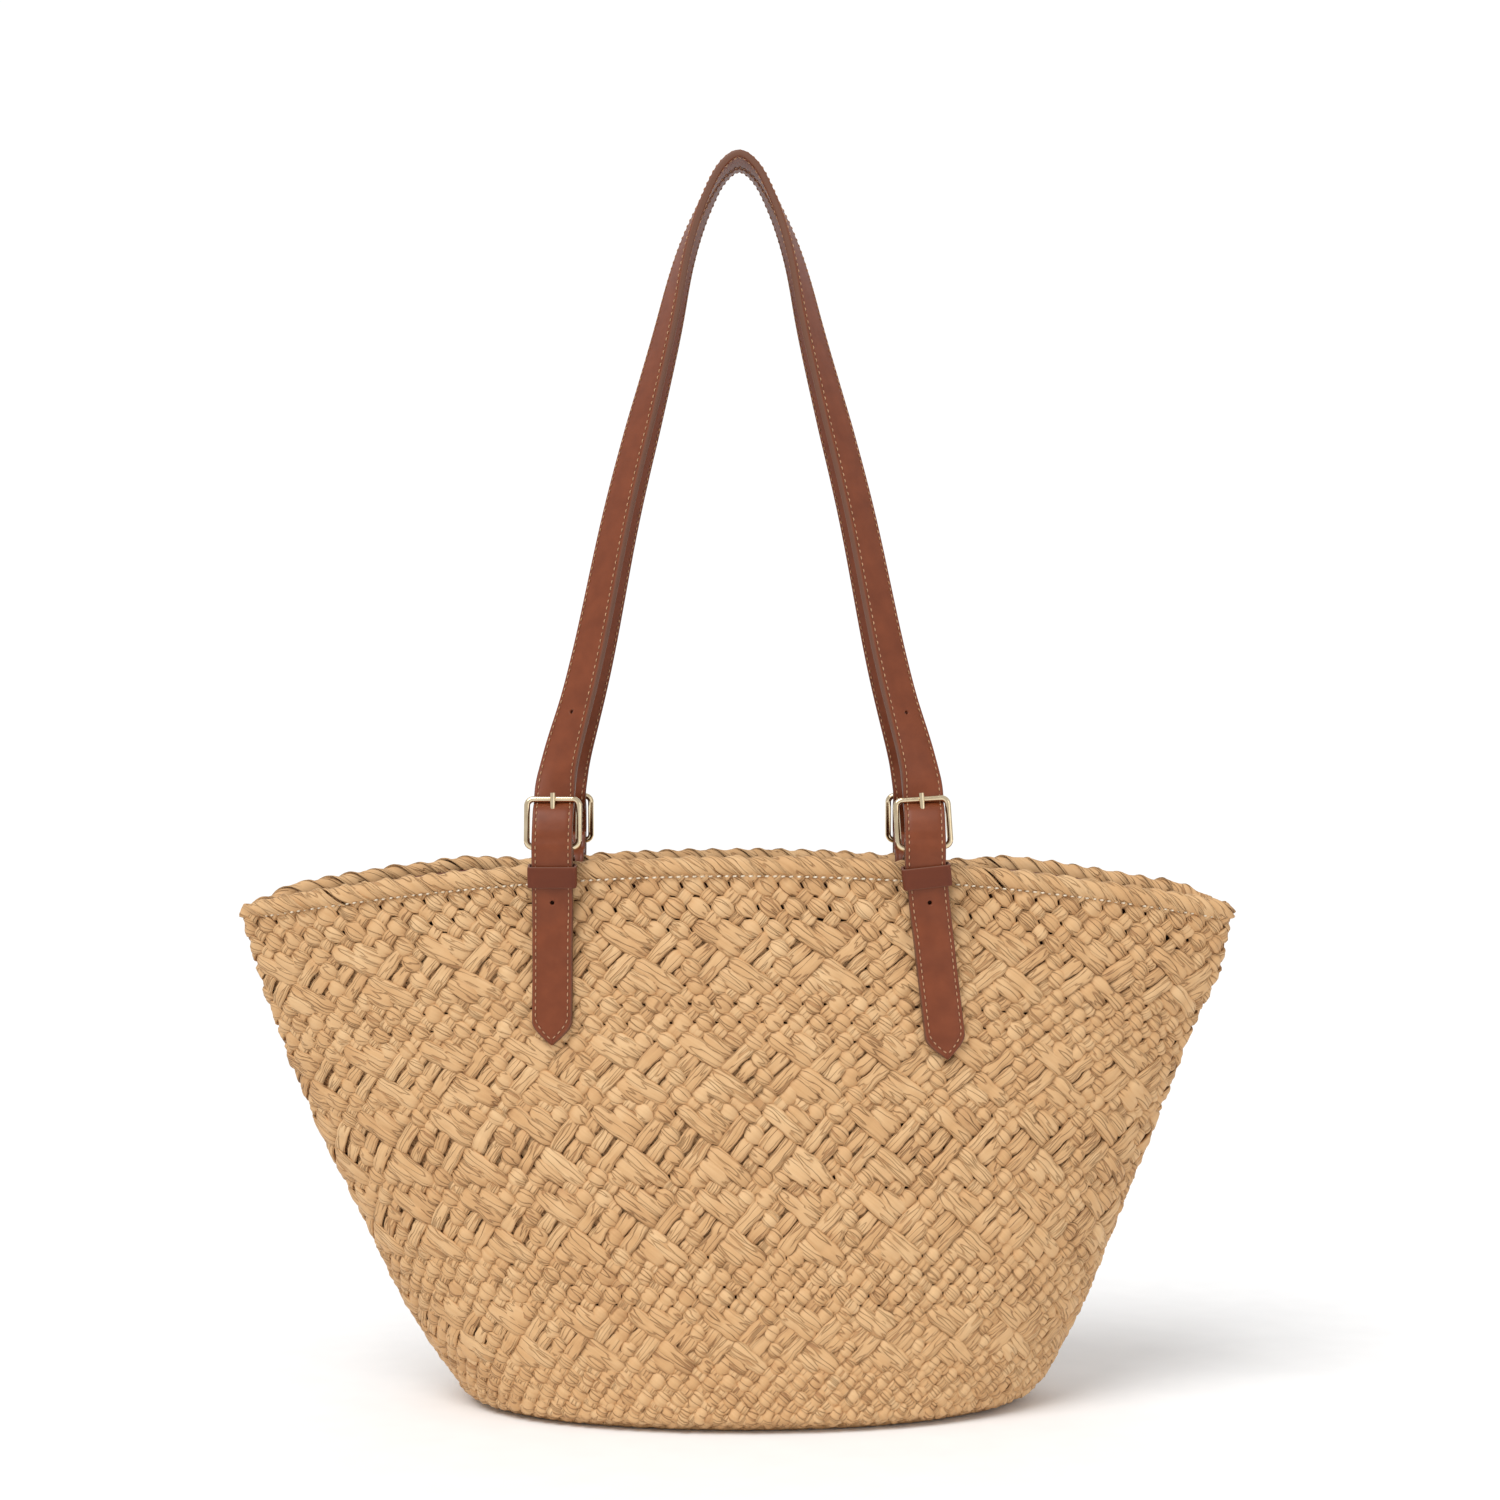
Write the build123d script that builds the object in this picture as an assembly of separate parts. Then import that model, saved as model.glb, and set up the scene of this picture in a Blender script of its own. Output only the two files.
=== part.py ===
from build123d import *
import os
from math import asin, atan, cos, degrees, radians, sin, tan

os.makedirs("parts", exist_ok=True)

# A woven straw tote with two buckled leather shoulder straps.
# Millimetres. The origin is the middle of the base, on the surface that the bag stands on;
# +Z is up, +X is to the right of the person who faces the bag's front, which looks to -Y.

# Woven body: plan outline y = depth * (1 - (x / width)^2)^power, from an oval base to a lens mouth
BASE_HALF_WIDTH = 148.0
BASE_HALF_DEPTH = 81.5
BASE_EDGE_HEIGHT = 7.0
BASE_EDGE_ROLL = 9.0
WIDTH_FLARE = 0.559
WIDTH_EASE = 0.000544
DEPTH_TAPER = 0.07
DEPTH_EASE = 0.000148
OVAL_POWER = 0.5
LENS_POWER_GAIN = 0.42
LENS_POWER_SHAPE = 1.3
TIP_STRETCH = 1.6
WALL = 5.0
SECTION_HEIGHTS = (0, 7, 35, 65, 95, 125, 155, 185, 215, 240, 262, 290)

# Rim: a shallow arc that is highest in the middle and drops to the two tips
RIM_CENTRE_Z = 276.5
RIM_DROP = 25.5
RIM_HALF_WIDTH = 252.0
RIM_RADIUS = (RIM_HALF_WIDTH**2 + RIM_DROP**2) / (2 * RIM_DROP)
HEM_HEIGHT = 8.5
HEM_PROUD = 0.9
SEAM_WIDTH = 0.8
SEAM_DROP = 1.2
SEAM_STANDS = 0.5
LINING_GAP = 0.4
LINING = 1.2
LINING_TOP_DROP = 14.0
FACING_GAP = 0.3
FACING = 1.4
FACING_TOP_DROP = 1.0
FACING_BOTTOM_DROP = 26.0

# Leather straps: two plies glued and sewn, 20 mm wide
STRAP_WIDTH = 20.0
PLY = 1.7
PLY_GAP = 0.1
STRAP = 2 * PLY + PLY_GAP
HANDLE_X = -2.0
LEG_HALF_SPAN = 91.0
LEG_PULL = 0.4
ARCH_START = 21.0
APEX_HEIGHT = 348.5
HANDLE_GAP = 1.0

# Buckles: round wire frames whose lower bar is the hinge of the handle
BAR_Y = 54.0
BAR_Z = 281.5
WIRE = 3.0
FRAME_WIDTH = 28.4
FRAME_HEIGHT = 26.5
FRAME_CORNER = 3.2
TOP_BAR = FRAME_HEIGHT - WIRE
TONGUE = 2.6
EYE_WIDTH = 3.4
EYE_CLEARANCE = 0.1
EYE_WALL = 1.1
SLOT_WIDTH = 4.6
CLEAR = 0.3

# Tabs: leather folded round the lower bar, one leg outside and one leg inside the wall
TAB_WIDTH = 20.0
TAB = 2.0
LOOP_RADIUS = WIRE / 2 + 1.0 + TAB / 2
RUN_SLOPE = 0.17
TAB_END_Z = 235.5
TAIL_TOP_Z = 273.5
TIP_TAPER = 11.0
TIP_WIDTH = 5.0
HOLE_RADIUS = 1.0
OPEN_HOLE_DROP = 27.0

# Keepers: a leather loop round tab and tail
KEEPER_HEIGHT = 10.6
KEEPER_PLY = 1.5
KEEPER_WIDTH = 24.0
KEEPER_Z = 267.5

# Corner name: (side of the bag, side of the handle, buckle tilt, slant of the tail, tail tip height)
CORNERS = {
    "front_left": (-1, -1, 0.0, 0.0, 185.0),
    "front_right": (-1, 1, 3.5, 6.5, 178.0),
    "back_left": (1, -1, 0.0, 2.0, 183.0),
    "back_right": (1, 1, 0.0, 3.0, 181.0),
}


def half_width(z):
    """Half width of the body at height z; the lowest few millimetres roll in to the base."""
    u = z - BASE_EDGE_HEIGHT
    if u < 0:
        return BASE_HALF_WIDTH + BASE_EDGE_ROLL * u / BASE_EDGE_HEIGHT
    return BASE_HALF_WIDTH + WIDTH_FLARE * u - WIDTH_EASE * u**2


def half_depth(z):
    """Half depth of the body at height z, measured in the middle."""
    u = z - BASE_EDGE_HEIGHT
    if u < 0:
        return BASE_HALF_DEPTH + BASE_EDGE_ROLL * u / BASE_EDGE_HEIGHT
    return BASE_HALF_DEPTH - DEPTH_TAPER * u - DEPTH_EASE * u**2


def power(z):
    """Power of the plan outline: 0.5 is an ellipse, 1 is a pointed lens."""
    return OVAL_POWER + LENS_POWER_GAIN * (z / RIM_CENTRE_Z) ** LENS_POWER_SHAPE


def wall_depth(x, z):
    """Distance of the outer wall from the middle plane, at x and z."""
    return half_depth(z) * (1 - (x / half_width(z)) ** 2) ** power(z)


def tip_stretch(z):
    """How much further an inset outline draws in at its tips than in the middle of its sides."""
    return 1 + TIP_STRETCH * (power(z) - OVAL_POWER) / LENS_POWER_GAIN


def section(z, inset):
    """Closed plan outline at height z, set in from the outer wall."""
    a = half_width(z) - inset * tip_stretch(z)
    b = half_depth(z) - inset
    bends = [-0.985, -0.9, -0.72, -0.48, -0.24, 0, 0.24, 0.48, 0.72, 0.9, 0.985]
    stations = [-1.0] + bends + [1.0]
    edges = []
    for side in (-1, 1):
        points = [(a * s, side * b * (1 - s**2) ** power(z), z) for s in stations]
        edges.append(Edge.make_spline([Vector(*p) for p in points]))
    return Wire(edges)


def body_volume(inset):
    """Everything inside the outline that lies `inset` within the outer wall."""
    return Solid.make_loft([section(z, inset) for z in SECTION_HEIGHTS], True)


def under_rim(drop):
    """A drum that holds all that lies more than `drop` below the rim line."""
    drum = Cylinder(RIM_RADIUS - drop, 300, rotation=(90, 0, 0))
    return Pos(0, 0, RIM_CENTRE_Z - RIM_RADIUS) * drum


def above(z):
    """A block that holds all of the bag above height z."""
    return Pos(0, 0, z + 200) * Box(600, 300, 400)


def rim_band(outer, inner, top_drop, bottom_drop):
    """A band that follows the rim, between two insets and two drops below the rim line."""
    ring = body_volume(outer) - body_volume(inner)
    return ring & under_rim(top_drop) - under_rim(bottom_drop)


def woven_wall():
    return (body_volume(0) - body_volume(WALL)) & under_rim(HEM_HEIGHT)


def woven_base():
    return body_volume(WALL) - above(WALL)


def lining():
    outer = body_volume(WALL + LINING_GAP) & above(WALL + LINING_GAP)
    inner = body_volume(WALL + LINING_GAP + LINING) & above(WALL + LINING_GAP + LINING)
    return (outer - inner) & under_rim(LINING_TOP_DROP)


def flat_face(corners):
    return Face(Wire.make_polygon(corners, close=True))


def band(stations):
    """A strip of leather through stations of (centre, width direction, width, thickness).

    The face direction is square to the width direction and to the line between neighbours.
    Each side between two stations is two flat triangles, so a twist needs no curved face. Both
    faces are cut along the same diagonal, so two plies with a thin gap never cross."""
    rings = []
    last = len(stations) - 1
    for i, (centre, across, width, thickness) in enumerate(stations):
        along = stations[min(i + 1, last)][0] - stations[max(i - 1, 0)][0]
        face = along.cross(across).normalized()
        a = across.normalized() * (width / 2)
        t = face * (thickness / 2)
        rings.append([centre - a - t, centre + a - t, centre + a + t, centre - a + t])
    faces = [flat_face(rings[0][::-1]), flat_face(rings[-1])]
    for low, high in zip(rings, rings[1:]):
        for k in (0, 1):
            faces.append(flat_face([low[k], low[k + 1], high[k + 1]]))
            faces.append(flat_face([low[k], high[k + 1], high[k]]))
        for k, n in ((2, 3), (3, 0)):
            faces.append(flat_face([low[k], low[n], high[k]]))
            faces.append(flat_face([low[n], high[n], high[k]]))
    return Solid(Shell(faces))


def lean():
    """Angle by which each handle leans in, so that the two meet at the top."""
    reach = BAR_Y - HANDLE_GAP / 2 - STRAP_WIDTH / 2 - behind_top_bar()
    return degrees(asin(reach / APEX_HEIGHT))


def behind_top_bar():
    return WIRE / 2 + CLEAR + STRAP / 2


def in_handle(shape, x=0.0, tilt=0.0):
    """Takes a shape from the upright handle frame, with the lower bar at 0, to the front handle."""
    tilted = shape.rotate(Axis.Y, -tilt).moved(Pos(x, 0, 0))
    return tilted.rotate(Axis.X, -lean()).moved(Pos(0, -BAR_Y, BAR_Z))


def to_side(shape, side):
    return shape if side < 0 else shape.mirror(Plane.XZ)


def arch_path():
    """Middle line of a handle in its own plane, from the left buckle over the top to the right."""
    leg = [(LEG_HALF_SPAN - LEG_PULL, ARCH_START), (90.2, 27), (81.2, 68), (59.8, 168.5)]
    leg += [(34.6, 271), (20.0, 322)]
    right = [Vector(x, 0, h) for x, h in leg]
    left = [Vector(-x, 0, h) for x, h in leg]
    top = [Vector(0, 0, APEX_HEIGHT)]
    return Edge.make_spline(left + top + right[::-1])


def twist(h):
    """Angle in degrees between the strap and the plane of its handle, at height h above the bar."""
    marks = ((0, 0), (27, 0), (33, 14), (42, 24), (72, 36), (212, 49), (274, 63), (322, 81))
    marks += ((APEX_HEIGHT, 90),)
    for (h0, t0), (h1, t1) in zip(marks, marks[1:]):
        if h <= h1:
            return t0 + (t1 - t0) * (h - h0) / (h1 - h0)
    return 90.0


def strap_behind(h):
    """How far the strap's middle lies behind the plane of the buckle, at height h above the bar."""
    front = -(LOOP_RADIUS + TAB / 2 + CLEAR + STRAP / 2)
    marks = ((0, front), (6, front + 0.8), (12, front + 3.0), (19.4, behind_top_bar()))
    for (h0, q0), (h1, q1) in zip(marks, marks[1:]):
        if h <= h1:
            return q0 + (q1 - q0) * (h - h0) / (h1 - h0)
    return behind_top_bar()


def strap_ply(lift):
    """One ply of a handle strap, from buckle to buckle, with a quarter turn in each leg."""
    path = arch_path()
    legs = [0.0, 0.008, 0.016, 0.026, 0.038, 0.05, 0.08, 0.12, 0.17, 0.22, 0.27, 0.32, 0.37]
    crown = [0.4 + 0.2 * i / 18 for i in range(19)]
    stations = legs + crown + [1 - s for s in legs[::-1]]
    ring = []
    for s in stations:
        point = path.position_at(s)
        along = path.tangent_at(s)
        outward = Vector(-along.Z, 0, along.X)
        turn = radians(twist(point.Z))
        across = outward * cos(turn) + Vector(0, 1, 0) * sin(turn)
        face = Vector(0, -1, 0) * cos(turn) + outward * sin(turn)
        centre = point + Vector(0, behind_top_bar(), 0) + face * lift
        ring.append((centre, across, STRAP_WIDTH, PLY))
    return in_handle(band(ring), HANDLE_X)


def buckle_frame(x, tilt):
    outline = Plane.XZ * RectangleRounded(FRAME_WIDTH - WIRE, TOP_BAR, FRAME_CORNER)
    wire = outline.wire().moved(Pos(0, 0, TOP_BAR / 2))
    start = Plane(origin=wire @ 0, z_dir=wire % 0)
    return in_handle(sweep(start * Circle(WIRE / 2), path=wire), x, tilt)


def tongue(x, tilt):
    """The tongue's eye turns on the lower bar; its stem comes through the strap over the top bar."""
    bar_hole = WIRE / 2 + EYE_CLEARANCE
    eye = Cylinder(bar_hole + EYE_WALL, EYE_WIDTH, rotation=(0, 90, 0))
    hole = Cylinder(bar_hole, 2 * EYE_WIDTH, rotation=(0, 90, 0))
    rest = -(WIRE + TONGUE) / 2 - 0.05
    foot = WIRE / 2 + 0.7
    line = FilletPolyline((0, 0, foot), (0, rest, 18.5), (0, rest, TOP_BAR + 2.8), radius=8)
    stem = sweep(Plane(origin=line @ 0, z_dir=line % 0) * Circle(TONGUE / 2), path=line)
    return in_handle((eye + stem) - hole, x, tilt)


def run_y(z):
    """Middle of the tab's outer leg on its straight run below the bar."""
    slope_angle = atan(RUN_SLOPE)
    top_y = -BAR_Y - LOOP_RADIUS * cos(slope_angle)
    top_z = BAR_Z - LOOP_RADIUS * sin(slope_angle)
    return top_y + (top_z - z) * RUN_SLOPE


def leg_y(z, x, lift):
    """Middle of a strip that hangs from the bar and then lies on the wall, `lift` off the surface."""
    on_wall = -wall_depth(x, z) - CLEAR - lift
    return min(run_y(z) - (lift - TAB / 2), on_wall)


def slanted_x(x, z, slant):
    return x + max(0.0, TAIL_TOP_Z - z) * tan(radians(slant))


def wall_turn(x, z):
    """Direction across a strip that lies on the front wall at x and z."""
    slope = -(wall_depth(x + 1, z) - wall_depth(x - 1, z)) / 2
    return Vector(1, slope, 0)


def settled(z):
    """0 where a strip hangs free below the bar, 1 where it lies on the wall."""
    return min(1.0, max(0.0, (252 - z) / 10))


def across_at(x, z):
    turn = wall_turn(x, z)
    return Vector(1, turn.Y * settled(z), 0)


def inner_leg_y(x, z):
    """Middle of the tab's inner leg, just clear of the facing at the leg's outermost edge."""
    inset = WALL + LINING_GAP + LINING + FACING_GAP + FACING
    edge = abs(x) + TAB_WIDTH / 2
    a = half_width(z) - inset * tip_stretch(z)
    surface = (half_depth(z) - inset) * (1 - (edge / a) ** 2) ** power(z)
    return -(surface - 4 * CLEAR - TAB / 2)


def tab(x, slant):
    """Outer leg, fold round the bar, and inner leg over the rim, in one strip with a tongue slot."""
    stations = []
    for z in (TAB_END_Z, 239, 243, 247, 252, 262, 272):
        xs = slanted_x(x, z, slant)
        centre = Vector(xs, leg_y(z, xs, TAB / 2), z)
        stations.append((centre, across_at(xs, z), TAB_WIDTH, TAB))
    for angle in range(-10, 171, 20):
        y = -BAR_Y - LOOP_RADIUS * cos(radians(angle))
        z = BAR_Z + LOOP_RADIUS * sin(radians(angle))
        stations.append((Vector(x, y, z), Vector(1, 0, 0), TAB_WIDTH, TAB))
    inner_leg = [(-49.0, 278.6), (-46.4, 276.4), (-41.0, 276.2), (-37.0, 274.4)]
    inner_leg += [(inner_leg_y(x, z), z) for z in (269.5, 262, 254, 246, 237)]
    for y, z in inner_leg:
        stations.append((Vector(x, y, z), Vector(1, 0, 0), TAB_WIDTH, TAB))
    slot = Pos(x, -BAR_Y, BAR_Z - 5.2 + 10) * Box(SLOT_WIDTH, 16, 20)
    return band(stations) - slot


def tail(x, slant, tip_z):
    """Free end of the strap: through the keeper, down the wall, to a point, with one open hole."""
    lift = TAB + CLEAR + STRAP / 2
    on_tab = (TAIL_TOP_Z, 272, 262, 252, 247, 243, 239, TAB_END_Z, TAB_END_Z - 2)
    shoulder = tip_z + TIP_TAPER
    bare = [TAB_END_Z - 8, TAB_END_Z - 16]
    bare += [bare[1] + (shoulder - bare[1]) * i / 3 for i in (1, 2, 3)]
    stations = []
    for z in on_tab:
        xs = slanted_x(x, z, slant)
        stations.append((Vector(xs, leg_y(z, xs, lift), z), across_at(xs, z), STRAP_WIDTH, STRAP))
    for i, z in enumerate(bare):
        xs = slanted_x(x, z, slant)
        sink = TAB + CLEAR if i > 0 else (TAB + CLEAR) / 2
        y = leg_y(z, xs, lift - sink)
        stations.append((Vector(xs, y, z), across_at(xs, z), STRAP_WIDTH, STRAP))
    for part, width in ((0.6, 14.5), (1.0, TIP_WIDTH)):
        z = shoulder - TIP_TAPER * part
        xs = slanted_x(x, z, slant)
        y = leg_y(z, xs, STRAP / 2)
        stations.append((Vector(xs, y, z), across_at(xs, z), width, STRAP))
    hole_z = BAR_Z - OPEN_HOLE_DROP
    hole = Cylinder(HOLE_RADIUS, 16, rotation=(90, 0, 0))
    hole = Pos(slanted_x(x, hole_z, slant), -BAR_Y, hole_z) * hole
    return band(stations[::-1]) - hole


def strap_bend(x, hand, tilt):
    """The stretch of strap that flexes round the lower bar, slotted for the tongue."""
    lift = TAB + CLEAR + STRAP / 2
    stations = []
    for h in (ARCH_START - 2 * CLEAR, 19.4, 16, 12, 9, 6):
        local = Vector(x - hand * LEG_PULL * h / ARCH_START, strap_behind(h), h)
        placed = Vertex(local).rotate(Axis.X, -lean()).moved(Pos(0, -BAR_Y, BAR_Z))
        stations.append((Vector(*placed.center()), Vector(1, 0, 0), STRAP_WIDTH, STRAP))
    reach = LOOP_RADIUS + TAB / 2 + CLEAR + STRAP / 2
    for angle in (30, 12, -6):
        y = -BAR_Y - reach * cos(radians(angle))
        z = BAR_Z + reach * sin(radians(angle))
        stations.append((Vector(x, y, z), Vector(1, 0, 0), STRAP_WIDTH, STRAP))
    low = TAIL_TOP_Z + CLEAR
    stations.append((Vector(x, leg_y(low, x, lift), low), Vector(1, 0, 0), STRAP_WIDTH, STRAP))
    slot = (Pos(0, 0, 13.5) * Box(SLOT_WIDTH, 20, 11)).rotate(Axis.Y, -tilt)
    return band(stations) - slot.moved(Pos(x, -BAR_Y, BAR_Z))


def keeper(x, slant):
    """A flat leather loop round the tab's outer leg and the tail."""
    inner_width = KEEPER_WIDTH - 2 * KEEPER_PLY - 0.2
    depth = TAB + CLEAR + STRAP + 2 * CLEAR
    outer = Box(KEEPER_WIDTH, depth + 2 * KEEPER_PLY, KEEPER_HEIGHT)
    outer = fillet(outer.edges().filter_by(Axis.Z), 1.4)
    loop = outer - Box(inner_width, depth, 2 * KEEPER_HEIGHT)
    loop = loop.rotate(Axis.X, degrees(atan(RUN_SLOPE))).rotate(Axis.Y, -slant)
    middle_y = run_y(KEEPER_Z) + TAB / 2 - (TAB + CLEAR + STRAP) / 2
    return loop.moved(Pos(slanted_x(x, KEEPER_Z, slant), middle_y, KEEPER_Z))


def save(shape, node):
    export_step(shape, f"parts/{node}.step")


save(woven_wall(), "woven_wall")
save(woven_base(), "woven_base")
save(rim_band(-HEM_PROUD, WALL + HEM_PROUD, 0, HEM_HEIGHT), "rim_hem")
seam_top = HEM_HEIGHT + SEAM_DROP
save(rim_band(-SEAM_STANDS, -0.05, seam_top, seam_top + SEAM_WIDTH), "rim_seam_thread")
save(lining(), "lining")
facing_outside = WALL + LINING_GAP + LINING + FACING_GAP
facing = rim_band(facing_outside, facing_outside + FACING, FACING_TOP_DROP, FACING_BOTTOM_DROP)
save(facing, "rim_facing")

for name, side in (("front", -1), ("back", 1)):
    step = (PLY + PLY_GAP) / 2
    save(to_side(strap_ply(step), side), f"{name}_strap_face")
    save(to_side(strap_ply(-step), side), f"{name}_strap_backing")

for corner, (side, hand, tilt, slant, tip_z) in CORNERS.items():
    bar_x = HANDLE_X + hand * LEG_HALF_SPAN
    lean_out = hand * slant
    save(to_side(buckle_frame(bar_x, hand * tilt), side), f"buckle_frame_{corner}")
    save(to_side(tongue(bar_x, hand * tilt), side), f"tongue_{corner}")
    save(to_side(tab(bar_x, lean_out), side), f"tab_{corner}")
    save(to_side(tail(bar_x, lean_out, tip_z), side), f"tail_{corner}")
    save(to_side(strap_bend(bar_x, hand, hand * tilt), side), f"strap_bend_{corner}")
    save(to_side(keeper(bar_x, lean_out), side), f"keeper_{corner}")
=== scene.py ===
import bpy
import numpy as np
from math import pi, radians
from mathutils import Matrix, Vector


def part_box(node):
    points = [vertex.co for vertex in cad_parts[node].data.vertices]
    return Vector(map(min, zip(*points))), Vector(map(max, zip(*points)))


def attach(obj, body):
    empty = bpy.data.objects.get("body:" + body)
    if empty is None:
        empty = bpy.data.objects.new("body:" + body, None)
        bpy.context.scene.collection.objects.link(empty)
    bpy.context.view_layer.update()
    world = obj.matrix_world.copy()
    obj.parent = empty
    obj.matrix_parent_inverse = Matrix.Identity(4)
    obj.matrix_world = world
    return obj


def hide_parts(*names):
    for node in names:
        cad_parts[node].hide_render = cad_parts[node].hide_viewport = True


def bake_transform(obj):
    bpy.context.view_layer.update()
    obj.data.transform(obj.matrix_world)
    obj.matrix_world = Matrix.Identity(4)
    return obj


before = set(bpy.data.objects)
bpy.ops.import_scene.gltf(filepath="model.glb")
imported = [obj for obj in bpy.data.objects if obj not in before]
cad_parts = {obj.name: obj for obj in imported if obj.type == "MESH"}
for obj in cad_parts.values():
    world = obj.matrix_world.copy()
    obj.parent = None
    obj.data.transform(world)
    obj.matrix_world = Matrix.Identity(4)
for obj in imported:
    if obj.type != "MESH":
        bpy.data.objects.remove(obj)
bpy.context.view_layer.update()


# The stand and the light
# A plain white floor and a white room, lit by one large soft lamp over the left shoulder and a
# weak fill lamp on the right, as in a studio for goods on white.

FLOOR_HALF = 6.0
EYE = (0.0035, -1.440, 0.329)
LENS = 68.0
ROOM_LIGHT = 0.72
ROOM_SEEN = 1.05
KEY_LIGHT = 1.9
KEY_SPREAD = 38
FILL_LIGHT = 3.0


def plain_material(name, colour, roughness):
    """A material with one faint cloud of noise in its colour, for the floor."""
    material = bpy.data.materials.new(name)
    material.use_nodes = True
    nodes, links = material.node_tree.nodes, material.node_tree.links
    shader = nodes["Principled BSDF"]
    coordinates = nodes.new("ShaderNodeTexCoord")
    noise = nodes.new("ShaderNodeTexNoise")
    noise.inputs["Scale"].default_value = 40.0
    noise.inputs["Detail"].default_value = 3.0
    ramp = nodes.new("ShaderNodeValToRGB")
    ramp.color_ramp.elements[0].color = (*(c * 0.94 for c in colour), 1)
    ramp.color_ramp.elements[1].color = (*colour, 1)
    links.new(coordinates.outputs["Object"], noise.inputs["Vector"])
    links.new(noise.outputs["Fac"], ramp.inputs["Fac"])
    links.new(ramp.outputs["Color"], shader.inputs["Base Color"])
    shader.inputs["Roughness"].default_value = roughness
    return material


def quad_mesh(name, points, quads, material, uv=None, tone=None, caps=None):
    """A smooth mesh from an (n, 3) array of points and an (m, 4) array of corner numbers.

    caps are closing faces of more corners. A closed mesh whose volume, the sum of
    a . (b x c) / 6 over its triangles, comes out negative has every face turned round.
    uv is one pair per point, and tone one number per point, kept as an attribute."""
    quads = np.ascontiguousarray(quads, dtype=np.int32)
    a, b, c, d = (points[quads[:, k]] for k in range(4))
    volume = np.einsum("ij,ij->", a, np.cross(b, c)) + np.einsum("ij,ij->", a, np.cross(c, d))
    if caps is not None and volume < 0:
        quads, caps = quads[:, ::-1], caps[:, ::-1]
    corners = quads.ravel()
    starts = np.arange(0, quads.size, 4)
    if caps is not None and caps.size:
        starts = np.concatenate([starts, quads.size + np.arange(len(caps)) * caps.shape[1]])
        corners = np.concatenate([corners, caps.ravel()])
    mesh = bpy.data.meshes.new(name)
    mesh.vertices.add(len(points))
    mesh.vertices.foreach_set("co", np.ascontiguousarray(points, dtype=np.float32).ravel())
    mesh.loops.add(len(corners))
    mesh.loops.foreach_set("vertex_index", corners.astype(np.int32))
    mesh.polygons.add(len(starts))
    mesh.polygons.foreach_set("loop_start", starts.astype(np.int32))
    mesh.polygons.foreach_set("use_smooth", np.ones(len(starts), dtype=bool))
    if uv is not None:
        layer = mesh.uv_layers.new(name="surface")
        layer.data.foreach_set("uv", uv[corners].astype(np.float32).ravel())
    if tone is not None:
        field = mesh.attributes.new("tone", "FLOAT", "POINT")
        field.data.foreach_set("value", tone.astype(np.float32))
    mesh.update(calc_edges=True)
    mesh.validate()
    mesh.materials.append(material)
    piece = bpy.data.objects.new(name, mesh)
    bpy.context.collection.objects.link(piece)
    return piece


def place(piece, body, slot, *nodes):
    """Rides a piece on its body and lets it stand for the named nodes, which it hides; slot is not used."""
    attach(piece, body)
    if nodes:
        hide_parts(*nodes)
    return piece


floor_points = FLOOR_HALF * np.array([(-1, -1, 0), (1, -1, 0), (1, 1, 0), (-1, 1, 0)])
white = plain_material("white_floor", (0.93, 0.93, 0.93), 0.9)
floor = quad_mesh("studio_floor", floor_points, [(0, 1, 2, 3)], white)

world = bpy.data.worlds.new("white_room")
world.use_nodes = True
world_nodes, world_links = world.node_tree.nodes, world.node_tree.links
world_nodes["Background"].inputs["Color"].default_value = (1, 1, 1, 1)
ray = world_nodes.new("ShaderNodeLightPath")
strength = world_nodes.new("ShaderNodeMapRange")
strength.inputs["To Min"].default_value = ROOM_LIGHT
strength.inputs["To Max"].default_value = ROOM_SEEN
world_links.new(ray.outputs["Is Camera Ray"], strength.inputs["Value"])
world_links.new(strength.outputs["Result"], world_nodes["Background"].inputs["Strength"])
bpy.context.scene.world = world
bpy.context.scene.view_settings.view_transform = "Standard"


def aimed(name, lamp, spot, aim):
    """A lamp at `spot` that looks at `aim`."""
    holder = bpy.data.objects.new(name, lamp)
    bpy.context.collection.objects.link(holder)
    holder.location = spot
    holder.rotation_euler = (Vector(aim) - Vector(spot)).to_track_quat("-Z", "Y").to_euler()


key = bpy.data.lights.new("key_light", "SUN")
key.energy = KEY_LIGHT
key.angle = radians(KEY_SPREAD)
aimed("key_light", key, (-0.8, -1.15, 1.9), (0, 0, 0))
fill = bpy.data.lights.new("fill_light", "AREA")
fill.energy = FILL_LIGHT
fill.size = 1.0
aimed("fill_light", fill, (1.3, -1.2, 0.7), (0, 0, 0.25))

camera = bpy.data.cameras.new("camera")
camera.lens = LENS
camera_holder = bpy.data.objects.new("camera", camera)
camera_holder.location = EYE
camera_holder.rotation_euler = (pi / 2, 0, 0)
bpy.context.collection.objects.link(camera_holder)
bpy.context.scene.camera = camera_holder


# The woven wall
# Two families of crinkled paper raffia, 88 strands leaning each way, plaited over and under
# each other in 60 rows, with five bands of long floats between plain rows.

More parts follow.
